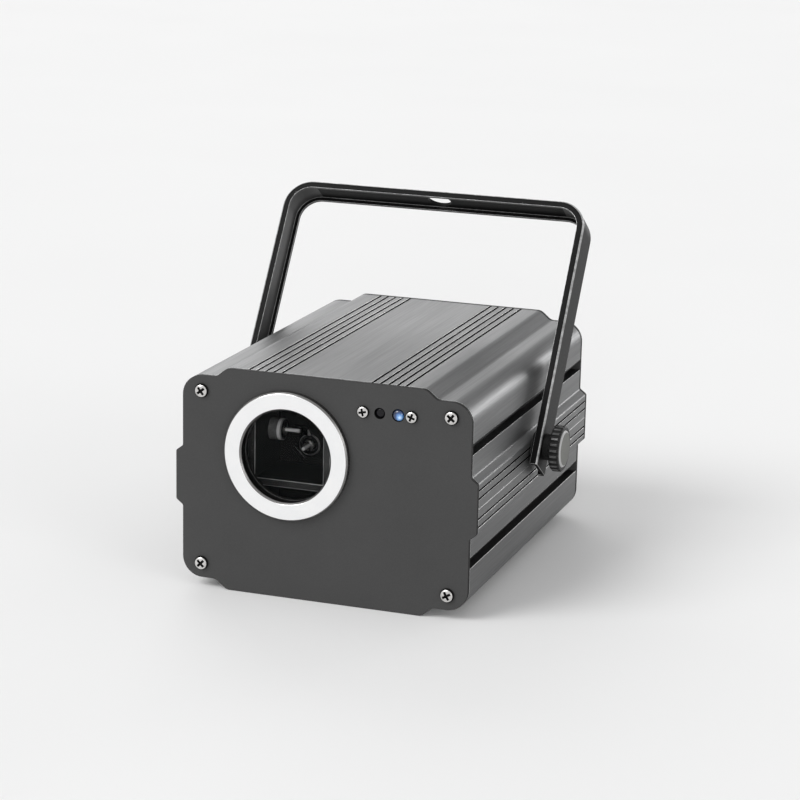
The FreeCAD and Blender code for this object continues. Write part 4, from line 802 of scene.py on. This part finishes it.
def cross_cutter(reach, width, depth, top):
    """Two tapered bars crossed, for the driver recess."""
    taper = (0.55, 0.7, 1)
    bars = []
    for turn in (0, 90):
        bar = block((2 * reach, width, 2 * depth), (0, 0, 0))
        open_mesh(bar)
        pick_faces(bar, lambda place, normal: normal.z < -0.5)
        bpy.ops.transform.resize(value=taper, center_override=(0, 0, -depth * MM))
        close_mesh()
        across = Matrix.Rotation(math.radians(turn), 4, "Z")
        bar.matrix_world = Matrix.Translation((0, 0, top * MM)) @ across
        settle(bar)
        bars.append(bar)
    grow_together(*bars)
    # The recess walls take this painted shade
    return lay_on(bars[0], RECESS_SHADE)


def pan_head_screw(name, head, height, shank, length):
    """A domed pan head with painted shade in its cross recess and on its flank, standing on z = 0 with its
    shank below.
    """
    point, point_height = 0.7 * shank, 0.6
    flank = 0.76 * head * MM
    crown = [(0.9, 0), (0.97, 0.08), (1, 0.24), (0.985, 0.42), (0.93, 0.6), (0.84, 0.76), (0.68, 0.9),
             (0.45, 0.975), (0.2, 1)]
    rings = [(point, -length), (shank, point_height - length), (shank, 0)]
    rings += [(head * wide, height * up) for wide, up in crown]
    piece = lay_on(turned_piece(name, rings, segments=48), FINISHES["bright_steel"])
    cut_out(piece, cross_cutter(reach=0.85 * head, width=0.42 * head, depth=0.62 * height, top=height))
    soften(piece, 0.05, segments=1, angle=40)
    # Painted shade on the flank outside the crown
    paint(piece, 1, lambda place, normal: place.z > 0 and place.xy.length > flank)
    return piece


def panel_screws():
    """The screws of both panels and of the rear fittings, each turned as its driver left it."""
    pattern = pan_head_screw("screw_pattern", HEAD, HEAD_HEIGHT, SHANK, SHANK_LENGTH)
    corners = {(LEFT_CORNER, TOP_CORNER): 38, (RIGHT_CORNER, TOP_CORNER): 52,
               (LEFT_CORNER, LOW_CORNER): 45, (RIGHT_CORNER, LOW_CORNER): 30}
    front = [face_front(again(pattern, "front_screw"), *at, spin=turn) for at, turn in corners.items()]
    finish_piece(join("corner_screws_front", front), "front_panel_screws")
    rear = [face_rear(again(pattern, "rear_screw"), *at, spin=turn + 17) for at, turn in corners.items()]
    flange = high("signal_socket").y
    for sign, turn in ((-1, 20), (1, 64)):
        x, z = SOCKET[0] + sign * SOCKET_SCREW[0], SOCKET[1] - sign * SOCKET_SCREW[1]
        rear.append(face_rear(again(pattern, "socket_screw"), x, z, flange, turn))
    finish_piece(join("corner_screws_rear", rear), "rear_panel_screws")
    reach = (high("fan_screws").x - low("fan_screws").x) / 2 - HEAD
    lug = high("fan_guard").y
    fan = []
    for across, up in ((-1, -1), (-1, 1), (1, -1), (1, 1)):
        x, z = FAN[0] + across * reach, FAN[1] + up * reach
        fan.append(face_rear(again(pattern, "fan_screw"), x, z, lug, 25 * across + 40 * up))
    finish_piece(join("screws_of_fan", fan), "fan_screws")
    bpy.data.objects.remove(pattern)
    small = pan_head_screw("small_pattern", SMALL_HEAD, SMALL_HEAD_HEIGHT, SMALL_SHANK, SMALL_SHANK_LENGTH)
    pair = [face_front(again(small, "sensor_screw"), x, LAMP[1], spin=turn)
            for x, turn in zip(SENSOR_SCREWS, (12, 70))]
    finish_piece(join("screws_of_sensor_board", pair), "sensor_board_screws")
    bpy.data.objects.remove(small)


# Front fittings

def light_window():
    """The bright bezel: a polished face, a painted dark reflection on its bevel and rim, and painted shade
    in its bore.
    """
    bore, seat, sleeve = 19.2, 21.03, 22.6
    rim = (high("window_bezel").x - low("window_bezel").x) / 2
    face = FRONT_FACE - low("window_bezel").y
    back = FRONT_FACE - high("window_bezel").y
    shade_depth, shade_reach = (face - 0.9) * MM, (bore + 0.8) * MM

    def bore_and_back_shade(place, normal):
        return place.z <= 0 or place.z < shade_depth and place.xy.length < shade_reach

    rings = [(bore, 0.0), (bore, face - 0.95), (bore + 0.08, face - 0.8), (bore + 0.75, face - 0.1),
             (bore + 0.95, face), (rim - 1.0, face), (rim - 0.75, face - 0.08), (rim - 0.15, face - 0.7),
             (rim, face - 1.0), (rim, 0.0), (sleeve, 0.0), (sleeve, back), (seat, back), (seat, 0.0),
             (bore, 0.0)]
    piece = turned_piece("bright_bezel", rings, segments=128, closed=True)
    lay_on(piece, FINISHES["bright_chrome"], DARK_RIM_REFLECTION, BORE_SHADE)
    soften(piece, 0)
    # Painted dark reflection on the bevels and rim
    paint(piece, 1, lambda place, normal: normal.z < 0.8 and place.z > 0)
    # Painted shade in the bore and on the back
    paint(piece, 2, bore_and_back_shade)
    settle(face_front(piece, *WINDOW))
    finish_piece(piece, "window_bezel")


def indicator_lamp():
    """A domed lamp with its collar."""
    collar, lens = 2.8, 2.4
    back = FRONT_FACE - high("indicator_led").y
    crown = FRONT_FACE - low("indicator_led").y
    rings = [(collar, back), (collar, back + 0.9), (collar - 0.1, back + 1.0), (lens, back + 1.0),
             (lens, -0.9), (2.36, -0.5), (2.22, -0.05), (1.98, 0.32), (1.62, 0.57), (1.15, 0.72),
             (0.6, 0.79), (0.15, crown)]
    piece = lay_on(turned_piece("lamp_dome", rings, segments=48), FINISHES["blue_lens"])
    soften(piece, 0)
    settle(face_front(piece, *LAMP))
    finish_piece(piece, "indicator_led")


def remote_receiver():
    """The receiver's black case on its board, with a glossy dome in the panel's hole."""
    width, depth, height = 5.0, 3.1, 6.0
    back = high("ir_receiver").y
    rings = [(2.1, -3.0), (2.1, -1.5), (2.05, -1.2), (1.88, -0.92), (1.6, -0.72), (1.2, -0.58),
             (0.7, -0.52), (0.2, -0.5)]
    dome = turned_piece("receiver_dome", rings, segments=48)
    face_front(dome, *RECEIVER)
    soften(dome, 0)
    case = block((width, depth, height), (RECEIVER[0], back - depth / 2, RECEIVER[1]))
    soften(case, 0.3)
    piece = lay_on(join("remote_receiver", [dome, case]), receiver_gloss())
    finish_piece(piece, "ir_receiver")


# Scanner

# How far a motor's bearing nose stands out of its face
NOSE = 0.8


def scan_motor(node, at, turn):
    """A small dark motor with a painted highlight on its end band and rim, a ring groove in its face and a
    bright bearing nose.
    """
    barrel, hub = 4.6, 2.4
    length, band, shoulder = 16.0, 1.9, 0.5
    rings = [(barrel - 0.5, -length), (barrel, 0.5 - length), (barrel, -band), (barrel, -shoulder),
             (4.2, 0.0), (3.6, 0.0), (3.45, -0.3), (2.85, -0.3), (2.7, 0.0), (hub, 0.0), (hub, 0.55),
             (hub - 0.25, NOSE), (1.2, NOSE), (1.1, 0.55), (0.82, 0.55), (0.8, -4.0)]
    piece = turned_piece(node + "_turned", rings, segments=64)
    lay_on(piece, BARREL, FINISHES["black_aluminium"], EDGES["bracket_paint"], FINISHES["bright_steel"],
           BARREL_END_HIGHLIGHT)
    soften(piece, 0)

    def within(low_end, inner, outer):
        return lambda place, normal: place.z > low_end * MM and inner * MM < place.xy.length < outer * MM

    # Painted highlight on the end band
    paint(piece, 4, within(-band, barrel - 0.1, barrel + 0.1))
    paint(piece, 1, within(0.05 - shoulder, -1, barrel - 0.3))
    # Painted highlight on the rim
    paint(piece, 2, within(-shoulder, barrel - 0.7, barrel - 0.01))
    paint(piece, 3, within(-0.2, -1, hub + 0.1))
    piece.matrix_world = Matrix.Translation(at * MM) @ turn
    settle(piece)
    finish_piece(piece, node)


def scanner():
    """Both motors, each looking at its mirror."""
    tilt, pan = middle("tilt_motor"), middle("pan_motor")
    scan_motor("tilt_motor", Vector((high("tilt_motor").x - NOSE, tilt.y, tilt.z)),
               Matrix.Rotation(math.radians(90), 4, "Y"))
    scan_motor("pan_motor", Vector((pan.x, low("pan_motor").y + NOSE, pan.z)),
               Matrix.Rotation(math.radians(90), 4, "X"))


# Rear fittings

def fan_blade():
    """One thin blade along +X, cambered and twisted, at its pitch."""
    root, tip, chord, thickness, set_back = 5.6, 13.0, 5.8, 0.8, 3.0
    twist, pitch = math.radians(-18), math.radians(40)
    camber = ((0.3, 0.45), (0.05, 0.2))
    bpy.ops.object.select_all(action="DESELECT")
    bpy.ops.mesh.primitive_grid_add(x_subdivisions=6, y_subdivisions=4, size=1)
    blade = bpy.context.active_object
    blade.scale = ((tip - root) * MM, chord * MM, MM)
    settle(blade)
    for share, rise in camber:
        open_mesh(blade, "VERT")
        pick_points(blade, lambda place: abs(place.y) < share * chord * MM)
        bpy.ops.transform.translate(value=(0, 0, rise * MM))
        close_mesh()
    put_on(blade, "SIMPLE_DEFORM", deform_method="TWIST", deform_axis="X", angle=twist)
    put_on(blade, "SOLIDIFY", thickness=thickness * MM, offset=0.0)
    put_on(blade, "SUBSURF", levels=1, render_levels=1)
    turn = Matrix.Rotation(pitch, 4, "X")
    blade.matrix_world = Matrix.Translation(((root + tip) / 2 * MM, 0, -set_back * MM)) @ turn
    settle(blade)
    return blade


def fan_wheel():
    """The fan's rotor: a cup with a rounded brow and a shallow dish in its face, and seven blades on it."""
    axle, cup, count = 1.0, 7.0, 7
    end = low("fan_rotor").y - high("fan_rotor").y
    rings = [(0.6, end), (axle, end + 0.3), (axle, -6.0), (6.6, -6.0), (cup, -5.6), (cup, -0.8),
             (6.8, -0.25), (6.3, 0.0), (5.3, 0.0), (5.0, -0.2), (0.3, -0.2)]
    wheel = turned_piece("fan_wheel", rings, segments=64)
    pattern = fan_blade()
    blades = []
    for index in range(count):
        blade = again(pattern, "blade")
        blade.matrix_world = Matrix.Rotation(2 * math.pi * index / count, 4, "Z")
        blades.append(blade)
    bpy.data.objects.remove(pattern)
    grow_together(wheel, join("blades", blades))
    lay_on(wheel, FINISHES["black_plastic"])
    soften(wheel, 0)
    settle(face_rear(wheel, *FAN, high("fan_rotor").y))
    finish_piece(wheel, "fan_rotor")


def menu_buttons():
    """Four domed buttons on collared stems."""
    stem, collar, cap = 1.4, 3.2, 2.4
    end = low("menu_button_1").y - REAR_FACE
    crown = high("menu_button_1").y - REAR_FACE
    rings = [(stem - 0.2, end), (stem, end + 0.25), (stem, -3.0), (collar, -3.0), (collar, -2.2),
             (cap, -2.2), (cap, 0.9), (2.33, 1.25), (2.1, 1.52), (1.6, 1.7), (0.9, 1.78), (0.2, crown)]
    pattern = lay_on(turned_piece("button_pattern", rings, segments=48), FINISHES["black_plastic"])
    soften(pattern, 0)
    for index in range(1, 5):
        node = f"menu_button_{index}"
        button = face_rear(again(pattern, f"domed_button_{index}"), *spot(node))
        settle(button)
        finish_piece(button, node)
    bpy.data.objects.remove(pattern)


# Stage

# Each lamp's place, its strength and how wide it looks in degrees
LAMPS = {
    "key": ((-1.1, -1.3, 1.5), 1.5, 35),
    "fill": ((1.7, -0.9, 0.5), 0.5, 30),
    "back": ((-0.9, 1.5, 0.9), 0.58, 35),
    "side": ((0.8, 2.0, 0.08), 0.7, 22),
    "front": ((0.25, -0.9, 0.2), 1.0, 22),
}
ROOM_LIGHT, ROOM_SEEN = 0.5, 0.8
FLOOR_SIZE, FLOOR_DROP = 14, 0.1
# The photograph's view: turn to the right, rise and roll in degrees, and the eye's place in metres
VIEW_TURN, VIEW_RISE, VIEW_ROLL = 19.30, 14.46, 1.20
VIEW_PLACE = (0.3552, -1.0032, 0.3410)
VIEW_LENS = 115.2


def pale_floor():
    """A plain pale floor just below the housing."""
    bpy.ops.object.select_all(action="DESELECT")
    bpy.ops.mesh.primitive_plane_add(size=FLOOR_SIZE, location=(0, 0, -FLOOR_DROP * MM))
    floor = bpy.context.active_object
    floor.name = "floor"
    settle(floor)
    f = Finish("pale_floor").set(Roughness=0.85, Specular_IOR_Level=0.15)
    f.colour(f.tones(f.noise(f.place(), scale=3, detail=2), (0.2, grey(0.87)), (0.8, grey(0.89))))
    floor.data.materials.append(f.material)


def soft_lamps():
    """Broad far lamps. The front one lights the window, and leaves no glare on the metal behind it."""
    for name, (at, strength, width) in LAMPS.items():
        light = bpy.data.lights.new(name, "SUN")
        light.energy = strength
        light.angle = math.radians(width)
        holder = bpy.data.objects.new(name, light)
        bpy.context.scene.collection.objects.link(holder)
        holder.location = at
        holder.rotation_euler = (-Vector(at)).to_track_quat("-Z", "Y").to_euler()
        holder.visible_glossy = name != "front"


def surroundings():
    """A pale room, brighter where the camera, a mirror or glass looks at it than the light it gives."""
    world = bpy.data.worlds.new("surroundings")
    bpy.context.scene.world = world
    world.use_nodes = True
    tree = world.node_tree
    shade = tree.nodes["Background"]
    shade.inputs["Color"].default_value = (1, 1, 1, 1)
    path = tree.nodes.new("ShaderNodeLightPath")
    seen = path.outputs["Is Camera Ray"]
    for ray in ("Is Glossy Ray", "Is Transmission Ray"):
        either = tree.nodes.new("ShaderNodeMath")
        either.operation = "MAXIMUM"
        tree.links.new(seen, either.inputs[0])
        tree.links.new(path.outputs[ray], either.inputs[1])
        seen = either.outputs[0]
    strength = tree.nodes.new("ShaderNodeMapRange")
    strength.inputs["To Min"].default_value = ROOM_LIGHT
    strength.inputs["To Max"].default_value = ROOM_SEEN
    tree.links.new(seen, strength.inputs["Value"])
    tree.links.new(strength.outputs["Result"], shade.inputs["Strength"])


def camera():
    """The photograph's view: from the right of the front and above, with a slight roll."""
    turn, rise, roll = (math.radians(angle) for angle in (VIEW_TURN, VIEW_RISE, VIEW_ROLL))
    right = Vector((math.cos(turn), math.sin(turn), 0))
    back = Vector((math.sin(turn) * math.cos(rise), -math.cos(turn) * math.cos(rise), math.sin(rise)))
    up = back.cross(right)
    side = right * math.cos(roll) + up * math.sin(roll)
    top = up * math.cos(roll) - right * math.sin(roll)
    eye = bpy.data.cameras.new("camera")
    eye.lens = VIEW_LENS
    eye.sensor_width = 36
    eye.clip_end = 50
    holder = bpy.data.objects.new("camera", eye)
    bpy.context.scene.collection.objects.link(holder)
    columns = Matrix((side, top, back)).transposed().to_4x4()
    holder.matrix_world = Matrix.Translation(VIEW_PLACE) @ columns
    bpy.context.scene.camera = holder
    bpy.context.scene.view_settings.view_transform = "Standard"


panel_screws()
light_window()
indicator_lamp()
remote_receiver()
scanner()
fan_wheel()
menu_buttons()
for solid, round_width in SOFT_EDGES.items():
    dressed_solid(solid, round_width)
shell_grooves()
bracket_faces()
scanner_mount_faces()
panel_edges()
knob_faces()
pale_floor()
soft_lamps()
surroundings()
camera()
